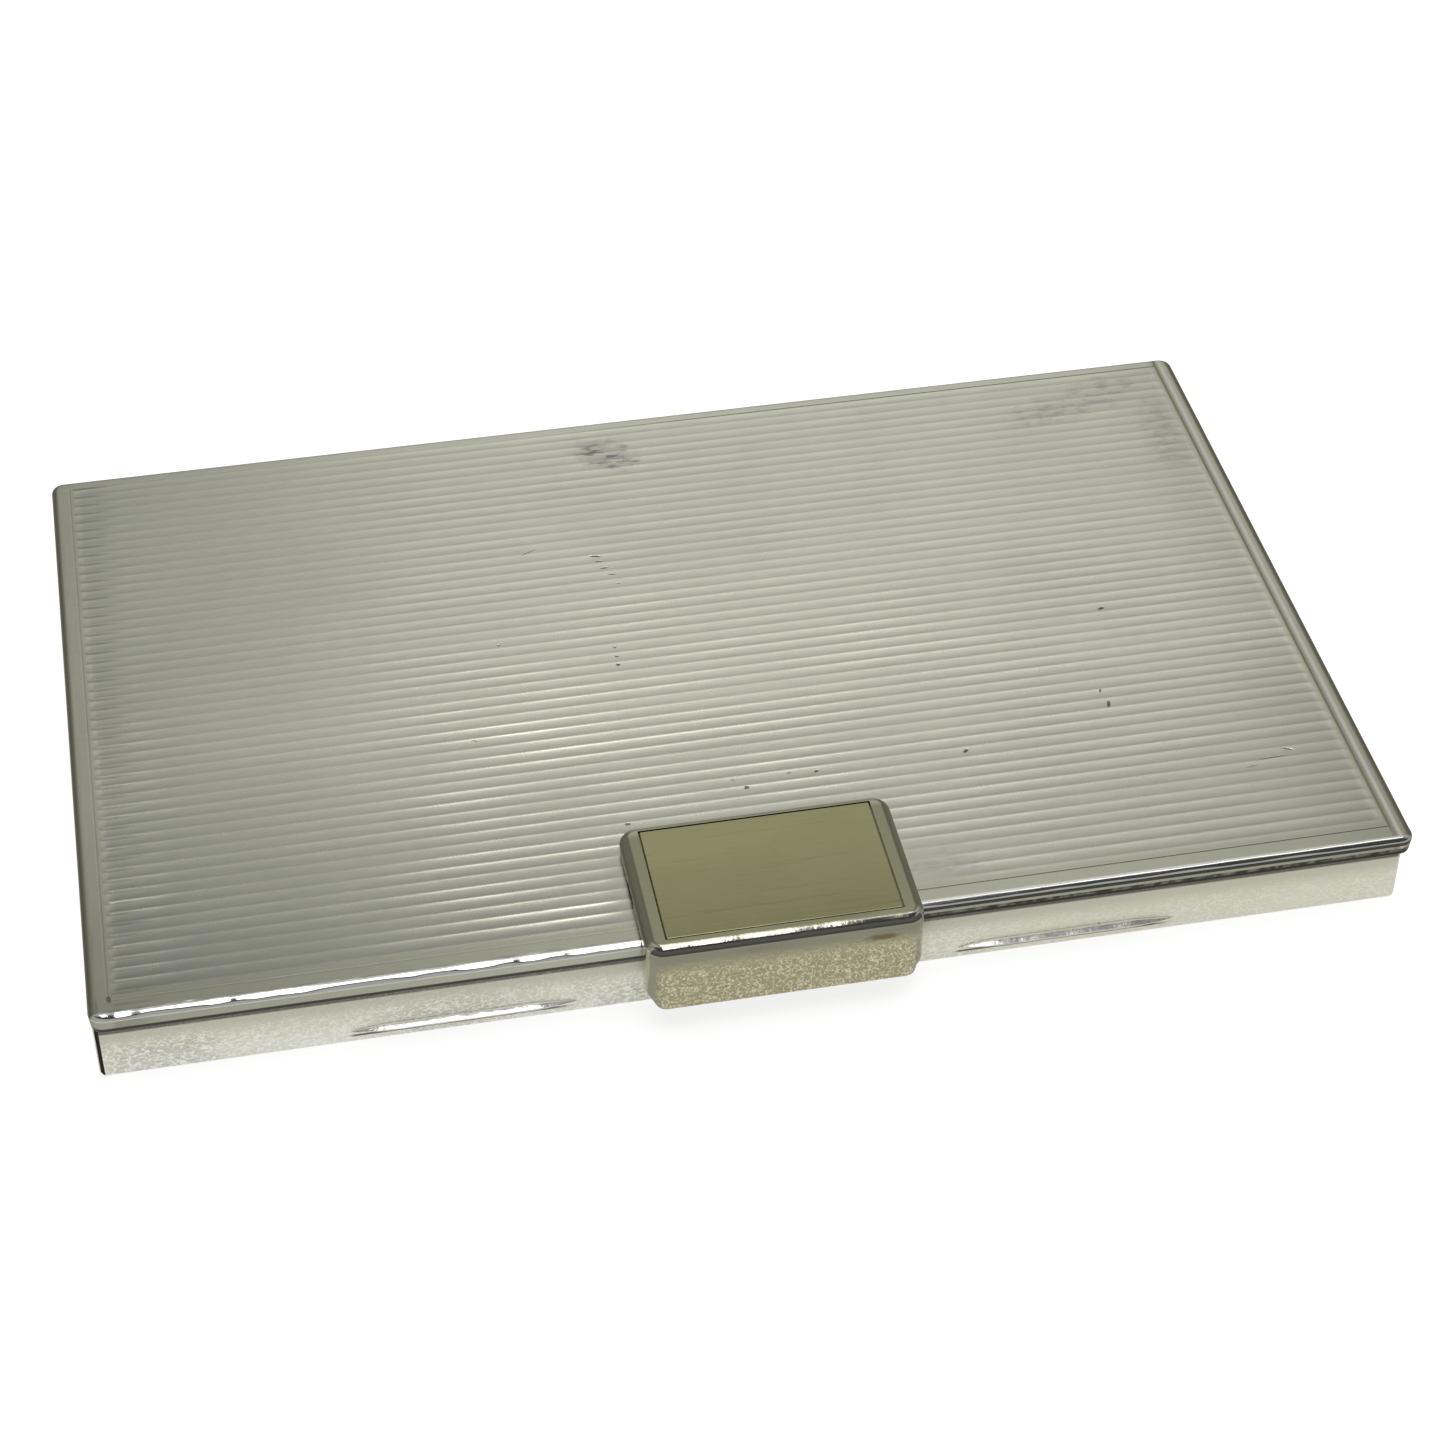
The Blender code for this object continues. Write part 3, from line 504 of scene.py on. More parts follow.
def fluteSilver():
    # polished silver, fluted and engraved: tones and wear are laid over each other from the plain metal up
    s, tones = lidShape, lidTones
    material, nodes = newMetal("fluteSilver", tones["silver"])
    x, y, z = nodes.x, nodes.y, nodes.z
    fromSide, fromFront = nodes.size(x), nodes.size(y)
    # 1 on the rounded rim, 0 on the top face
    rim = nodes.most(nodes.fade(fromSide, 46.7, 46.95), nodes.fade(fromFront, 29.95, 30.2))
    # tarnish that gathers in places
    cloud = nodes.noise(nodes.where, 60, 5, 0.55)
    colour = nodes.mix(nodes.span(cloud, 0.45, 0.75, 0, 0.16), tones["silver"], tones["tarnishAndShade"])
    grain = nodes.noise(nodes.stretch(nodes.where, (0.25, 1, 1)), 3000, 2)
    colour = nodes.mix(nodes.span(grain, 0.3, 0.8, 0, 0.12), colour, tones["grain"])
    # painted shade: darker towards the left and the front, and a little at the far right edge
    leftShade = nodes.fade(x, -46, -6, 0.19, 0)
    frontShade = nodes.fade(y, -29, -5, 0.34, 0, smooth=False)
    frontShadeReach = nodes.fade(x, -4, 20, 1, 0.62)
    paintedShade = nodes.plus(leftShade, nodes.times(frontShade, frontShadeReach))
    colour = nodes.mix(nodes.plus(paintedShade, nodes.fade(x, 38, 47, 0, 0.1)), colour, tones["paintedShade"])
    # painted shade: short dark strokes on one side of each flute, where the flutes begin on the left
    firstCrest = (s["fieldFront"] + s["phase"] * s["pitch"]) * mm
    part = nodes.maths("FRACT", nodes.times(nodes.less(y, firstCrest), 1 / (s["pitch"] * mm)))
    startShade = nodes.times(nodes.span(part, 0.62, 0.78, 0, 1), nodes.span(part, 1.0, 0.9, 0, 1))
    starts = nodes.band(x, -45.9, -45.6, -44.9, -42.0)
    colour = nodes.mix(nodes.times(nodes.times(startShade, starts), 0.55), colour, tones["startShade"])
    # the plain border is duller than the fluted field
    field = nodes.times(nodes.fade(fromSide, s["fieldSide"] + 0.1, s["fieldSide"] - 0.6),
                        nodes.fade(y, s["fieldFront"] - 0.1, s["fieldFront"] + 0.4))
    colour = nodes.mix(nodes.span(field, 0, 1, 0.3, 0), colour, tones["border"])
    # the engraved line is darker, most of all on the right
    within = s["lineWidth"] * 0.55 * mm
    lines = None
    for place, middle in ((x, s["lineSide"]), (x, -s["lineSide"]), (y, s["lineFront"]), (y, s["lineBack"])):
        line = nodes.span(nodes.size(nodes.less(place, middle * mm)), within, within * 0.5, 0, 1)
        lines = line if lines is None else nodes.most(lines, line)
    inside = nodes.times(nodes.fade(fromSide, 46.16, 46.14), nodes.fade(y, -29.16, -29.14))
    onTop = nodes.fade(z, 6.35, 6.4)
    lines = nodes.times(nodes.times(lines, inside), onTop)
    worn = nodes.fade(x, -12, 11, 0.1, 0.8)
    colour = nodes.mix(nodes.times(lines, worn), colour, tones["lineDark"])
    # painted reflection: brown on the rounded side edges; along the line on the right, painted shade in a
    # dull band and a painted highlight in a bright stripe
    brown = nodes.most(nodes.fade(x, -46.95, -47.25, 0, 0.75), nodes.fade(x, 46.8, 47.08, 0, 0.78))
    colour = nodes.mix(brown, colour, tones["brown"])
    colour = nodes.mix(nodes.band(x, 45.82, 45.95, 46.15, 46.3, 0.6), colour, tones["groove"])
    colour = nodes.mix(nodes.band(x, 46.3, 46.4, 46.55, 46.7, 0.7), colour, tones["lineHighlight"])
    # the front edge is rubbed bright: partly wear, partly a whiter tint painted so that its highlight reads
    # white
    wearAndSheen = nodes.times(nodes.fade(y, -30.1, -30.2, 0, 0.85), nodes.fade(z, 6.1, 6.2))
    colour = nodes.mix(wearAndSheen, colour, tones["wearAndSheen"])
    # painted shadow and dark reflection low on the rim, speckled on the right, and a painted dark band in the
    # bend on the right of the latch
    rightHalf = nodes.fade(x, 9, 11)
    speckle = nodes.span(nodes.noise(nodes.where, 1300, 3), 0.35, 0.6, 0.55, 1)
    under = nodes.times(nodes.fade(z, 5.74, 5.66, 0, 0.95), nodes.times(rightHalf, speckle))
    under = nodes.most(under, nodes.fade(z, 5.50, 5.38, 0, 0.97))
    bend = nodes.band(z, 5.94, 6.0, 6.24, 6.30, 0.9)
    under = nodes.most(under, nodes.times(bend, rightHalf))
    under = nodes.times(under, nodes.fade(y, -30.2, -30.0, 1, 0.4))
    colour = nodes.mix(under, colour, tones["shadowDark"])
    # smudges, broken into flecks, and nicks
    dark = spots(nodes, smudges, (1, 1), 0.6, 1.6)
    flecks = nodes.span(nodes.noise(nodes.stretch(nodes.where, (0.5, 1.4, 1)), 1500, 3), 0.46, 0.62, 0.25, 1)
    colour = nodes.mix(nodes.times(dark, flecks), colour, tones["smudge"])
    nick = spots(nodes, nicks, (0.85, 0.8), 0.4, 0.9)
    colour = nodes.mix(nick, colour, tones["nick"])
    # the hollow underneath is plain satin
    hidden = nodes.times(nodes.fade(z, 6.08, 6.04), nodes.times(nodes.fade(fromSide, 46.56, 46.52),
                                                                nodes.fade(fromFront, 29.76, 29.72)))
    stained = nodes.span(nodes.noise(nodes.where, 70, 4), 0.4, 0.75, 0, 0.4)
    colour = nodes.mix(hidden, colour, nodes.mix(stained, tones["inside"], tones["insideDull"]))
    nodes.give("Base Color", colour)
    # hazy low on the front edge and in the hollow
    haze = nodes.times(nodes.fade(z, 6.3, 6.15), nodes.fade(y, -30.2, -30.3))
    haze = nodes.times(haze, nodes.fade(x, 0, 10, 0.5, 0.1))
    haze = nodes.most(haze, nodes.times(hidden, 0.4))
    nodes.give("Metallic", nodes.rest(haze))
    # the rim is polished smoother than the top, and marks are rougher
    satin = nodes.span(nodes.noise(nodes.where, 240, 4), 0.3, 0.7, 0.21, 0.29)
    nick = nodes.times(nick, nodes.rest(hidden))
    satin = nodes.plus(satin, nodes.times(nodes.most(dark, nick), 0.2))
    nodes.give("Roughness", nodes.less(satin, nodes.times(rim, 0.15)))
    # soft dents along the rim, fine grain, and the nicks pressed in
    uneven = nodes.times(rim, nodes.fade(x, 9, 11, 1, 0.15))
    uneven = nodes.times(uneven, nodes.fade(y, -28, -29, 0.08, 1))
    dents = nodes.noise(nodes.stretch(nodes.where, (1, 0.5, 0.5)), 520, 1.0)
    first = nodes.bump(nodes.times(nodes.less(dents, 0.5), uneven), 1.0, 0.00017)
    second = nodes.bump(grain, 0.12, 0.00003, first)
    nodes.give("Normal", nodes.bump(nodes.rest(nick), 0.6, 0.00006, second))
    return material


lidShell = asPiece(carve(lidSkin(), [lidUnderside()]), "lidShell", crease=40)
settle(lidShell, "lid", "silver", fluteSilver(), "lid_shell")
print("lid made:", len(lidShell.data.polygons), "faces")


# the tray's sizes in mm
trayShape = {"corner": 0.5, "foot": 0.45, "wall": 0.6, "floor": 0.6, "mouth": 0.08, "leftStand": 0.38,
             "insideCorner": 0.4, "insideFoot": 0.3, "seamAt": 0.12, "seamWidth": 0.24, "seamDepth": 0.5,
             "seamFoot": 0.15}
trayTones = {"silver": (0.90, 0.885, 0.735), "cloud": (0.78, 0.76, 0.61), "stain": (0.50, 0.47, 0.36),
             "high": (0.55, 0.535, 0.44), "right": (0.66, 0.63, 0.49), "shadowDark": (0.10, 0.08, 0.055),
             "pit": (0.14, 0.12, 0.10), "inside": (0.66, 0.62, 0.48), "low": (1.0, 1.0, 0.93),
             "hollow": (0.58, 0.56, 0.45), "litRidge": (1.0, 1.0, 0.95), "slitShade": (0.03, 0.025, 0.02),
             "beadShadow": (0.12, 0.10, 0.07)}


def frostedSilver():
    # etched silver: a soft white bloom over the metal, broken by fine raised grain low on the walls
    tones = trayTones
    material, nodes = newMetal("frostedSilver", tones["silver"])
    x, y, z = nodes.x, nodes.y, nodes.z
    cloud = nodes.noise(nodes.where, 90, 4)
    stain = nodes.noise(nodes.stretch(nodes.where, (1, 1, 0.5)), 260, 4)
    colour = nodes.mix(nodes.span(cloud, 0.4, 0.75, 0, 0.3), tones["silver"], tones["cloud"])
    colour = nodes.mix(nodes.span(stain, 0.6, 0.8, 0, 0.35), colour, tones["stain"])
    # the front wall outside: duller high up and on the right, with a painted shadow along its top, under the
    # lid's rim
    outer = nodes.fade(y, -29.9, -29.97)
    high = nodes.times(nodes.fade(z, 2.2, 3.9), outer)
    colour = nodes.mix(nodes.times(high, 0.85), colour, tones["high"])
    colour = nodes.mix(nodes.times(nodes.fade(x, 12, 30, 0.15, 0.4), outer), colour, tones["right"])
    colour = nodes.mix(nodes.times(nodes.fade(z, 4.18, 4.34, 0, 0.9), outer), colour, tones["shadowDark"])
    # dark pits
    pits = nodes.add("TexVoronoi", in_Vector=nodes.stretch(nodes.where, (1, 1, 0.6)), in_Scale=260).outputs[0]
    colour = nodes.mix(nodes.span(pits, 0.045, 0.03, 0, 0.8), colour, tones["pit"])
    nodes.give("Roughness", nodes.span(cloud, 0.3, 0.7, 0.36, 0.46))
    # where the raised grain shows: in patches, mostly low on the front wall and not inside
    patches = nodes.times(nodes.span(nodes.noise(nodes.where, 120, 2), 0.36, 0.58, 0.5, 1),
                          nodes.rest(nodes.times(high, 0.85)))
    patches = nodes.times(patches, nodes.fade(x, 11, 17, 1, 0.3))
    patches = nodes.times(patches, nodes.fade(y, -29.95, -29.5, 1, 0.35))
    inside = nodes.times(nodes.fade(nodes.size(x), 46.75, 46.7), nodes.fade(nodes.size(y), 29.7, 29.65))
    patches = nodes.times(patches, nodes.rest(inside))
    nodes.give("Metallic", nodes.span(inside, 0, 1, 0.28, 0.72))
    colour = nodes.mix(nodes.times(inside, 0.6), colour, tones["inside"])
    # the grain itself, its relief painted: bright ridges as painted highlights, with duller hollows as
    # painted shade between them
    frost = nodes.noise(nodes.stretch(nodes.where, (0.75, 1, 1.25), (0, 0.5, 0)), 2100, 2.0, 0.55)
    ridges = nodes.size(nodes.less(frost, 0.5))
    # painted light: the front wall is brighter low down, most of all on the left
    low = nodes.times(nodes.times(nodes.fade(z, 2.4, 1.0, 0, 0.8), nodes.fade(x, -12, -9, 1, 0.1)), outer)
    colour = nodes.mix(low, colour, tones["low"])
    colour = nodes.mix(nodes.times(nodes.span(ridges, 0.02, 0.06, 0, 0.55), patches), colour, tones["hollow"])
    colour = nodes.mix(nodes.times(nodes.span(ridges, 0.045, 0.015, 0, 1), patches), colour, tones["litRidge"])
    # painted shade: the open seam in the front wall is painted black inside
    slitShade = nodes.band(x, -47.285, -47.275, -47.005, -46.995)
    slitShade = nodes.times(slitShade, nodes.fade(y, -29.5, -29.45, 1, 0))
    colour = nodes.mix(nodes.times(slitShade, 0.97), colour, tones["slitShade"])
    # painted shadow: a dark line under each bead
    for left, right in ((-30.1, -13.7), (13.5, 30.1)):
        along = nodes.band(x, left, left + 0.5, right - 2.0, right)
        reach = nodes.size(nodes.less(z, 0.80 * mm))
        below = nodes.times(nodes.fade(reach, 0.13, 0.06), outer)
        colour = nodes.mix(nodes.times(nodes.times(along, below), 0.92), colour, tones["beadShadow"])
    nodes.give("Base Color", colour)
    nodes.give("Normal", nodes.bump(nodes.times(ridges, patches), 1.0, -0.0005))
    return material


def trayBody():
    s = trayShape
    low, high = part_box("base_tray")
    low.x -= s["leftStand"] * mm
    bm = newBox(low, high)
    roundOff(bm, runsAlong(bm, 2), s["corner"] * mm, 6)
    roundOff(bm, liesAt(bm, 2, low.z), s["foot"] * mm, 5)
    roundOff(bm, liesAt(bm, 2, high.z), s["mouth"] * mm, 2)
    wall = s["wall"] * mm
    inside = newBox((low.x + wall, low.y + wall, low.z + s["floor"] * mm),
                    (high.x - wall, high.y - wall, high.z + wall))
    roundOff(inside, runsAlong(inside, 2), s["insideCorner"] * mm, 4)
    roundOff(inside, liesAt(inside, 2, low.z + s["floor"] * mm), s["insideFoot"] * mm, 3)
    # a round seat along the back for the hinge barrel
    knuckleLow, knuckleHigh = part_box("base_knuckle_1")
    centre = (knuckleLow + knuckleHigh) / 2
    radius = (knuckleHigh.z - knuckleLow.z) / 2 + 0.1 * mm
    seat = bmesh.new()
    ring = [(low.x - wall, y, z) for y, z in arcPoints((centre.y, centre.z), radius, 0, 352.5, 47)]
    raise3d(seat, ring, (high.x - low.x + 2 * wall, 0, 0))
    # the open seam where the front wall was folded to meet the left wall
    seamLeft = low.x + s["seamAt"] * mm
    seam = newBox((seamLeft, low.y - wall, low.z + s["seamFoot"] * mm),
                  (seamLeft + s["seamWidth"] * mm, low.y + s["seamDepth"] * mm, high.z + wall))
    return carve(bm, [inside, seat, seam])


frosted = frostedSilver()
tray = asPiece(trayBody(), "tray")
settle(tray, "base", "frosted_silver", frosted, "base_tray")
print("tray made")


# the thumb latch's sizes in mm
latchShape = {"corner": 1.3, "edge": 0.72, "foot": 1.35, "skirtFoot": 0.3, "wall": 0.7, "ceiling": 0.55,
              "insideCorner": 0.6, "rockSlope": 0.07, "gap": 0.09, "plateEdge": 0.08, "plateCorner": 0.12}
latchTones = {"metal": (0.56, 0.55, 0.40), "cloud": (0.47, 0.45, 0.33), "top": (0.33, 0.32, 0.195),
              "face": (0.70, 0.635, 0.40), "hollow": (0.50, 0.44, 0.25), "litRidge": (1.0, 0.95, 0.68),
              "wearAndSheen": (0.95, 0.94, 0.86), "tarnishAndShade": (0.06, 0.055, 0.04), "stain": (0.26, 0.17, 0.08)}
plateTones = {"gilt": (0.445, 0.425, 0.225), "cloud": (0.39, 0.372, 0.19), "paintedShade": (0.0, 0.0, 0.0),
              "scratch": (0.25, 0.23, 0.13)}


def latchSilver():
    # satin gilt-toned silver: bright on its rounded edges, partly through a painted highlight tint, grainy on
    # the front of the skirt
    tones = latchTones
    material, nodes = newMetal("latchSilver", tones["metal"])
    x, y, z = nodes.x, nodes.y, nodes.z
    low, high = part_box("thumb_cover")
    front = nodes.span(y, low.y + 0.7 * mm, low.y + 0.1 * mm, 0, 1)
    down = nodes.span(z, high.z - 1.0 * mm, high.z - 2.6 * mm, 0, 1)
    left = nodes.span(x, low.x + 0.2 * mm, low.x + 1.2 * mm, 0.2, 1)
    right = nodes.span(x, high.x - 0.2 * mm, high.x - 1.0 * mm, 0.3, 1)
    face = nodes.times(nodes.times(front, down), nodes.times(left, right))
    cloud = nodes.noise(nodes.where, 200, 4)
    colour = nodes.mix(nodes.span(cloud, 0.4, 0.75, 0, 0.35), tones["metal"], tones["cloud"])
    # painted shade: the flat top is darker, except near the back
    onTop = nodes.times(nodes.span(z, high.z - 0.10 * mm, high.z - 0.02 * mm, 0, 1),
                        nodes.span(y, high.y - 0.8 * mm, high.y - 1.4 * mm, 0, 0.8))
    colour = nodes.mix(onTop, colour, tones["top"])
    colour = nodes.mix(nodes.times(face, 0.9), colour, tones["face"])
    # raised grain on the face of the skirt, its relief painted: bright ridges as painted highlights, hollows
    # as painted shade
    grain = nodes.noise(nodes.where, 2300, 2, 0.6)
    ridges = nodes.size(nodes.less(grain, 0.5))
    rough = nodes.times(face, nodes.span(z, high.z - 3.0 * mm, high.z - 1.6 * mm, 1, 0.3))
    colour = nodes.mix(nodes.times(nodes.span(ridges, 0.02, 0.07, 0, 0.55), rough), colour, tones["hollow"])
    colour = nodes.mix(nodes.times(nodes.span(ridges, 0.045, 0.015, 0, 1), rough), colour, tones["litRidge"])
    nodes.give("Metallic", nodes.rest(nodes.times(face, 0.36)))
    # painted reflection: a dark band low on the turned edge, for the dark room in front that it reflects
    tarnishAndShade = nodes.times(nodes.span(z, high.z - 0.66 * mm, high.z - 0.58 * mm, 0, 1),
                          nodes.span(z, high.z - 0.26 * mm, high.z - 0.17 * mm, 1, 0))
    tarnishAndShade = nodes.times(tarnishAndShade, nodes.span(y, low.y + 0.6 * mm, low.y + 0.5 * mm, 0, 0.8))
    # the turned edge is rubbed bright: partly wear, partly a whiter tint painted so that its highlight reads
    # white
    wearAndSheen = nodes.times(nodes.span(y, low.y + 1.2 * mm, low.y + 0.8 * mm, 0, 0.8),
                         nodes.span(z, high.z - 0.75 * mm, high.z - 0.5 * mm, 0, 1))
    wearAndSheen = nodes.times(wearAndSheen, nodes.span(z, high.z - 0.02 * mm, high.z - 0.06 * mm, 0, 1))
    colour = nodes.mix(wearAndSheen, colour, tones["wearAndSheen"])
    colour = nodes.mix(tarnishAndShade, colour, tones["tarnishAndShade"])
    # small brown stain high on the front, near the right
    stainAt = nodes.add("VectorMath", operation="SUBTRACT", in_0=nodes.where,
                        in_1=(high.x - 3.2 * mm, low.y, high.z - 1.55 * mm)).outputs[0]
    stainAt = nodes.add("VectorMath", operation="MULTIPLY", in_0=stainAt, in_1=(700, 0, 2800)).outputs[0]
    reach = nodes.add("VectorMath", operation="LENGTH", in_0=stainAt).outputs["Value"]
    reach = nodes.plus(reach, nodes.times(nodes.noise(nodes.where, 1500, 3), 0.8))
    stain = nodes.times(nodes.span(reach, 1.5, 0.7, 0, 0.75), front)
    nodes.give("Base Color", nodes.mix(stain, colour, tones["stain"]))
    nodes.give("Roughness", nodes.plus(nodes.span(cloud, 0.3, 0.7, 0.10, 0.16), nodes.times(face, 0.22)))
    # soft dents, deepest on the turned edge, under the grain
    dents = nodes.noise(nodes.stretch(nodes.where, (1, 0.6, 0.6)), 300, 0.5)
    turnDown = nodes.times(nodes.span(y, low.y + 1.1 * mm, low.y + 0.7 * mm, 0, 1),
                           nodes.span(z, high.z - 1.2 * mm, high.z - 0.8 * mm, 0, 1))
    dents = nodes.less(dents, 0.5)
    first = nodes.bump(nodes.times(dents, nodes.plus(turnDown, 0.12)), 1.0, 0.00011)
    nodes.give("Normal", nodes.bump(nodes.times(grain, nodes.plus(rough, 0.02)), 1.0, 0.0004, first))
    return material


def giltPlate():
    # brushed gilt, with painted shade darkening it towards the front, and slanting scratches
    tones = plateTones
    material, nodes = newMetal("giltPlate", tones["gilt"])
    cloud = nodes.noise(nodes.where, 240, 4)
    colour = nodes.mix(nodes.span(cloud, 0.35, 0.75, 0, 0.4), tones["gilt"], tones["cloud"])
    colour = nodes.mix(nodes.fade(nodes.y, -31.5, -23.0, 0.22, 0, smooth=False), colour, tones["paintedShade"])
    scratch = nodes.noise(nodes.stretch(nodes.where, (0.35, 6, 1), (0, 0, math.radians(-28))), 420, 3)
    nodes.give("Base Color", nodes.mix(nodes.span(scratch, 0.6, 0.75, 0, 0.35), colour, tones["scratch"]))
    nodes.give("Roughness", nodes.span(cloud, 0.3, 0.7, 0.22, 0.30))
    hair = nodes.noise(nodes.stretch(nodes.where, (1, 10, 1), (0, 0, math.radians(6))), 700, 2)
    first = nodes.bump(hair, 0.2, 0.00003)
    nodes.give("Normal", nodes.bump(scratch, 0.12, 0.00005, first))
    return material


def tuckFeet(bm, low, high, foot):
    # rounds the two bottom corners of the skirt, as seen from the front
    steps = range(1, 7)
    cuts = [Vector((0, 0, low.z + foot * k / 6)) for k in steps]
    cuts += [Vector((low.x + foot * k / 6, 0, 0)) for k in steps]
    cuts += [Vector((high.x - foot * k / 6, 0, 0)) for k in steps]
    for place in cuts:
        parts = bm.verts[:] + bm.edges[:] + bm.faces[:]
        bmesh.ops.bisect_plane(bm, geom=parts, plane_co=place, plane_no=(0, 0, 1) if place.z else (1, 0, 0))
    for vert in bm.verts:
        onLeft = vert.co.x < (low.x + high.x) / 2
        middle, outward = (low.x + foot, -1) if onLeft else (high.x - foot, 1)
        across, down = (vert.co.x - middle) * outward, low.z + foot - vert.co.z
        if across > 0 and down > 0:
            pull = (across ** 10 + down ** 10) ** 0.1 / math.hypot(across, down)
            vert.co.x = middle + across * pull * outward
            vert.co.z = low.z + foot - down * pull


def coverBody():
    s = latchShape
    low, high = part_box("thumb_cover")
    plateLow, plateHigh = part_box("thumb_plate")
    lidLow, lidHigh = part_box("lid_shell")
    pin = (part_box("latch_pin")[0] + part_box("latch_pin")[1]) / 2
    wall = s["wall"] * mm
    bm = newBox(low, high)
    roundOff(bm, runsAlong(bm, 2), s["corner"] * mm, 8)
    roundOff(bm, liesAt(bm, 2, high.z), s["edge"] * mm, 8)
    roundOff(bm, liesAt(bm, 2, low.z), s["skirtFoot"] * mm, 3)
    level = lidHigh.z + 0.1 * mm
    lip = lidLow.y - 0.2 * mm
    past = high.y + wall
    # behind the pin the underside slopes up, which leaves room to rock
    under = [(lip, low.z - wall), (lip, level), (pin.y, level),
             (past, level + (past - pin.y) * s["rockSlope"]), (past, low.z - wall)]
    slab = bmesh.new()
    raise3d(slab, [(low.x - wall, y, z) for y, z in under], (high.x - low.x + 2 * wall, 0, 0))
    hollow = newBox((low.x + wall, low.y + wall, low.z - wall),
                    (high.x - wall, high.y - wall, high.z - s["ceiling"] * mm))
    roundOff(hollow, runsAlong(hollow, 2), s["insideCorner"] * mm, 4)
    notch = newBox((low.x - wall, pin.y - 1.2 * mm, level - 0.5 * mm),
                   (high.x + wall, pin.y + 1.2 * mm, level + 0.5 * mm))
    gap = s["gap"] * mm
    pocket = newBox(plateLow - Vector((gap, gap, gap)), plateHigh + Vector((gap, gap, wall)))
    bm = carve(bm, [slab, hollow, notch, pocket])
    tuckFeet(bm, low, high, s["foot"] * mm)
    return bm


def plateBody():
    low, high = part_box("thumb_plate")
    bm = newBox(low, high)
    roundOff(bm, runsAlong(bm, 2), latchShape["plateCorner"] * mm, 2)
    roundOff(bm, liesAt(bm, 2, high.z), latchShape["plateEdge"] * mm, 2)
    return bm


latchMetal = latchSilver()
thumbCover = asPiece(coverBody(), "thumbCover")
settle(thumbCover, "thumb_latch", "latch_silver", latchMetal, "thumb_cover")
thumbPlate = asPiece(plateBody(), "thumbPlate")
settle(thumbPlate, "thumb_latch", "gold_plate", giltPlate(), "thumb_plate")
print("thumb latch made")


# the grip beads: faces round and cuts along, the length of a point in mm, and how high the keel stands
beadShape = {"segments": 20, "stations": 40, "point": 3.4, "keel": 0.45}


def beadBody(node):
    # a long bead, keeled along its top and drawn out to a point at both ends
    s = beadShape
    low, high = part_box(node)
    length = high.x - low.x
    bm = bmesh.new()
    bmesh.ops.create_cone(bm, cap_ends=True, segments=s["segments"], radius1=1, radius2=1, depth=length,
                          matrix=Matrix.Rotation(math.pi / 2, 4, "Y"))
    bmesh.ops.subdivide_edges(bm, edges=runsAlong(bm, 0), cuts=s["stations"], use_grid_fill=True)
    proud, half = high.y - low.y, (high.z - low.z) / 2
    for vert in bm.verts:
        end = (length / 2 - abs(vert.co.x)) / (s["point"] * mm)
        swell = 0.04 + 0.96 * math.sin(min(1.0, max(0.0, end)) * math.pi / 2) ** 0.8
        ripple = 0.95 + 0.05 * wander(vert.co.x / mm * 2.2, 0, 3.0)
        out = min(1.0, abs(vert.co.y))
        rise = 1 - (1 - s["keel"]) * out ** 1.2 if vert.co.z > 0 else (1 + s["keel"]) * out ** 1.5 - 1
        vert.co.y *= swell * proud
        vert.co.z = rise * swell * half * ripple
    parts = bm.verts[:] + bm.edges[:] + bm.faces[:]
    bmesh.ops.bisect_plane(bm, geom=parts, plane_co=(0, 0.02 * mm, 0), plane_no=(0, 1, 0), clear_outer=True)
    bmesh.ops.holes_fill(bm, edges=[e for e in bm.edges if e.is_boundary])
    bmesh.ops.translate(bm, vec=((low.x + high.x) / 2, high.y, (low.z + high.z) / 2), verts=bm.verts)
    bmesh.ops.recalc_face_normals(bm, faces=bm.faces)
    return bm


beadSilver = polishedSilver("beadSilver", (0.97, 0.96, 0.92), 0.2, 0.3, 0.25)
for side in ("left", "right"):
    bead = asPiece(beadBody(f"grip_bead_{side}"), f"gripBead.{side}", crease=50)
    settle(bead, "base", "silver", beadSilver, f"grip_bead_{side}")
print("grip beads made")


# the hinge and the inner parts keep their CAD shapes
innerSilver = polishedSilver("innerSilver", (0.84, 0.83, 0.77), 0.2)
springSteel = polishedSilver("springSteel", (0.50, 0.50, 0.50), 0.26, 0.4)
for name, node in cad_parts.items():
    if node.hide_render:
        continue
    steel = name in ("hinge_pin", "latch_pin", "latch_rivet_1", "latch_rivet_2", "latch_spring")
    gilt = name in ("cover_lug_left", "cover_lug_right", "latch_hook")
    finish = springSteel if steel else latchMetal if gilt else innerSilver
    node.data.materials.clear()
    node.data.materials.append(finish)
print("inner parts finished")


# the stage: half the floor's size in m, its tone and glow, and the sun's power and softness in degrees
stageSetup = {"floorHalf": 3.0, "floorTone": 0.30, "floorGlow": 0.78, "sunPower": 2.2, "sunSoft": 80}


def makeFloor():
    bm = bmesh.new()
    bmesh.ops.create_grid(bm, x_segments=4, y_segments=4, size=stageSetup["floorHalf"])
    floor = asPiece(bm, "floor", weighted=False)
    material = bpy.data.materials.new("paleFloor")
    nodes = Nodes(material)
    tone = stageSetup["floorTone"]
    nodes.give("Base Color", (tone, tone, tone, 1))
    nodes.give("Roughness", 0.9)
    nodes.give("Specular IOR Level", 0.0)
    nodes.give("Emission Color", (1, 1, 1, 1))
    nodes.give("Emission Strength", stageSetup["floorGlow"])
    floor.data.materials.append(material)
    floor.visible_glossy = False


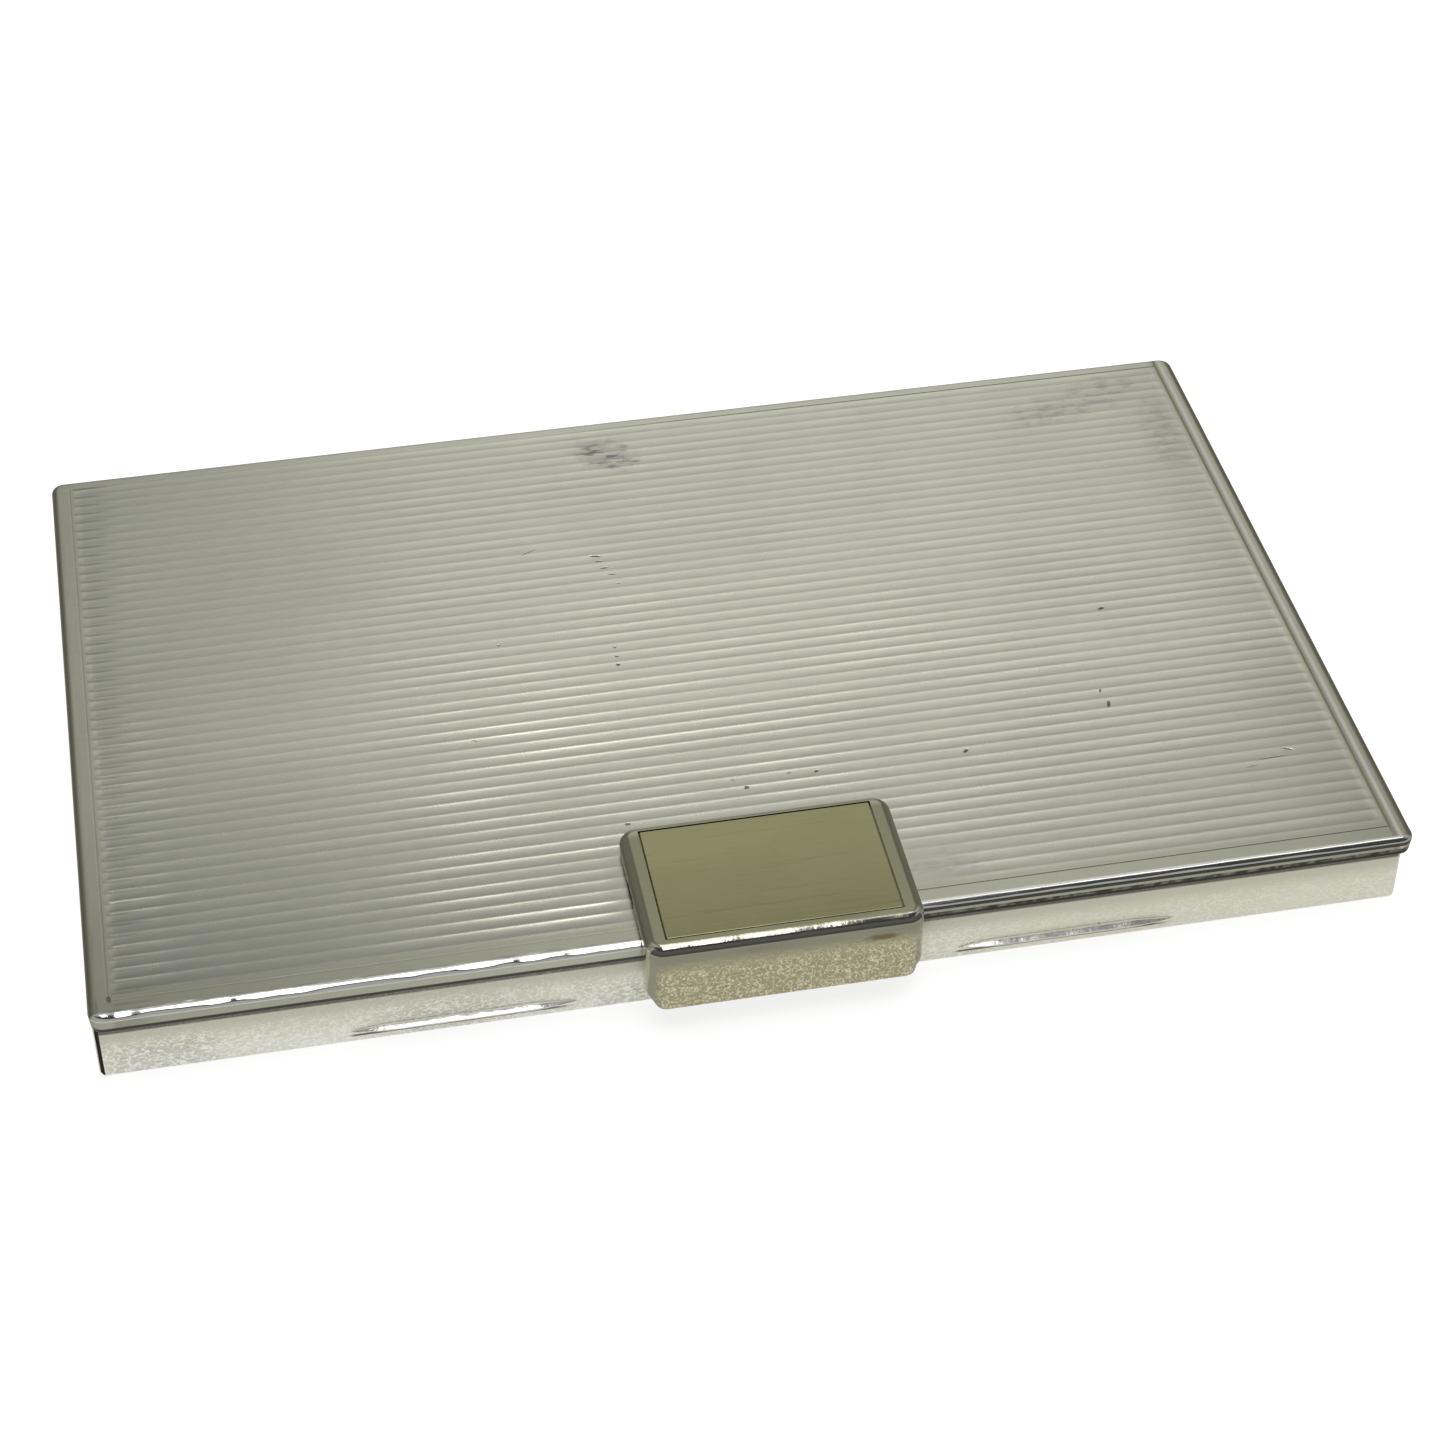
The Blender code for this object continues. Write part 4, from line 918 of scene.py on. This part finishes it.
def softLamp(name, place, aim, size, power, tone=(1, 1, 1), glossy=True):
    lamp = bpy.data.lights.new(name, "AREA")
    lamp.shape = "RECTANGLE"
    lamp.size, lamp.size_y = size
    lamp.energy = power
    lamp.color = tone
    obj = bpy.data.objects.new(name, lamp)
    obj.location = place
    obj.rotation_euler = (Vector(aim) - Vector(place)).to_track_quat("-Z", "Y").to_euler()
    obj.visible_glossy = glossy
    bpy.context.scene.collection.objects.link(obj)


def makeSun():
    sun = bpy.data.lights.new("roomLight", "SUN")
    sun.energy = stageSetup["sunPower"]
    sun.angle = math.radians(stageSetup["sunSoft"])
    obj = bpy.data.objects.new("roomLight", sun)
    obj.rotation_euler = (math.radians(-12), math.radians(8), 0)
    obj.visible_glossy = False
    bpy.context.scene.collection.objects.link(obj)


def makeWorld():
    # a studio round the case: grey behind, brighter high up at the back right, dark behind the camera
    world = bpy.data.worlds.new("studio")
    nodes = Nodes(world)
    background = nodes.tree.nodes["Background"]
    x, y, z = nodes.add("SeparateXYZ", in_Vector=nodes.add("TexCoord").outputs["Generated"]).outputs
    behind = nodes.span(y, -0.12, 0.12, 0, 1)
    height = nodes.span(z, 0.34, 0.88, 0.385, 0.70, smooth=False)
    leftFall = nodes.span(x, -0.20, 0.12, 0.50, 1)
    rightFall = nodes.span(x, 0.24, 0.45, 1, 0.55)
    wall = nodes.times(nodes.times(nodes.times(height, leftFall), rightFall), behind)
    front = nodes.times(nodes.rest(behind), nodes.span(z, 0.52, 0.66, 0.36, 0.045))
    above = nodes.plus(wall, front)
    below = nodes.span(z, 0.02, -0.06, 0, 1)
    ground = nodes.times(nodes.span(z, -0.1, -0.8, 0.24, 0.42), below)
    total = nodes.plus(nodes.times(above, nodes.rest(below)), ground)
    nodes.feed(background.inputs["Strength"], total)
    background.inputs["Color"].default_value = (1, 1, 1, 1)
    bpy.context.scene.world = world


makeFloor()
makeSun()
makeWorld()
# what the rounded edges show: a broad lamp overhead to the left, a thin one to the right
softLamp("overheadLamp", (0.01, -0.10, 0.95), (0.01, -0.10, 0), (0.30, 1.12), 2.1)
softLamp("stripLamp", (0.36, 0.12, 0.95), (0.36, 0.12, 0), (0.26, 0.08), 0.16)
softLamp("frontFill", (-0.3, -1.2, 0.45), (0, 0, 0), (0.8, 0.5), 3.7, (1.0, 0.99, 0.95), glossy=False)
bpy.context.scene.view_settings.view_transform = "Standard"
print("stage lit")
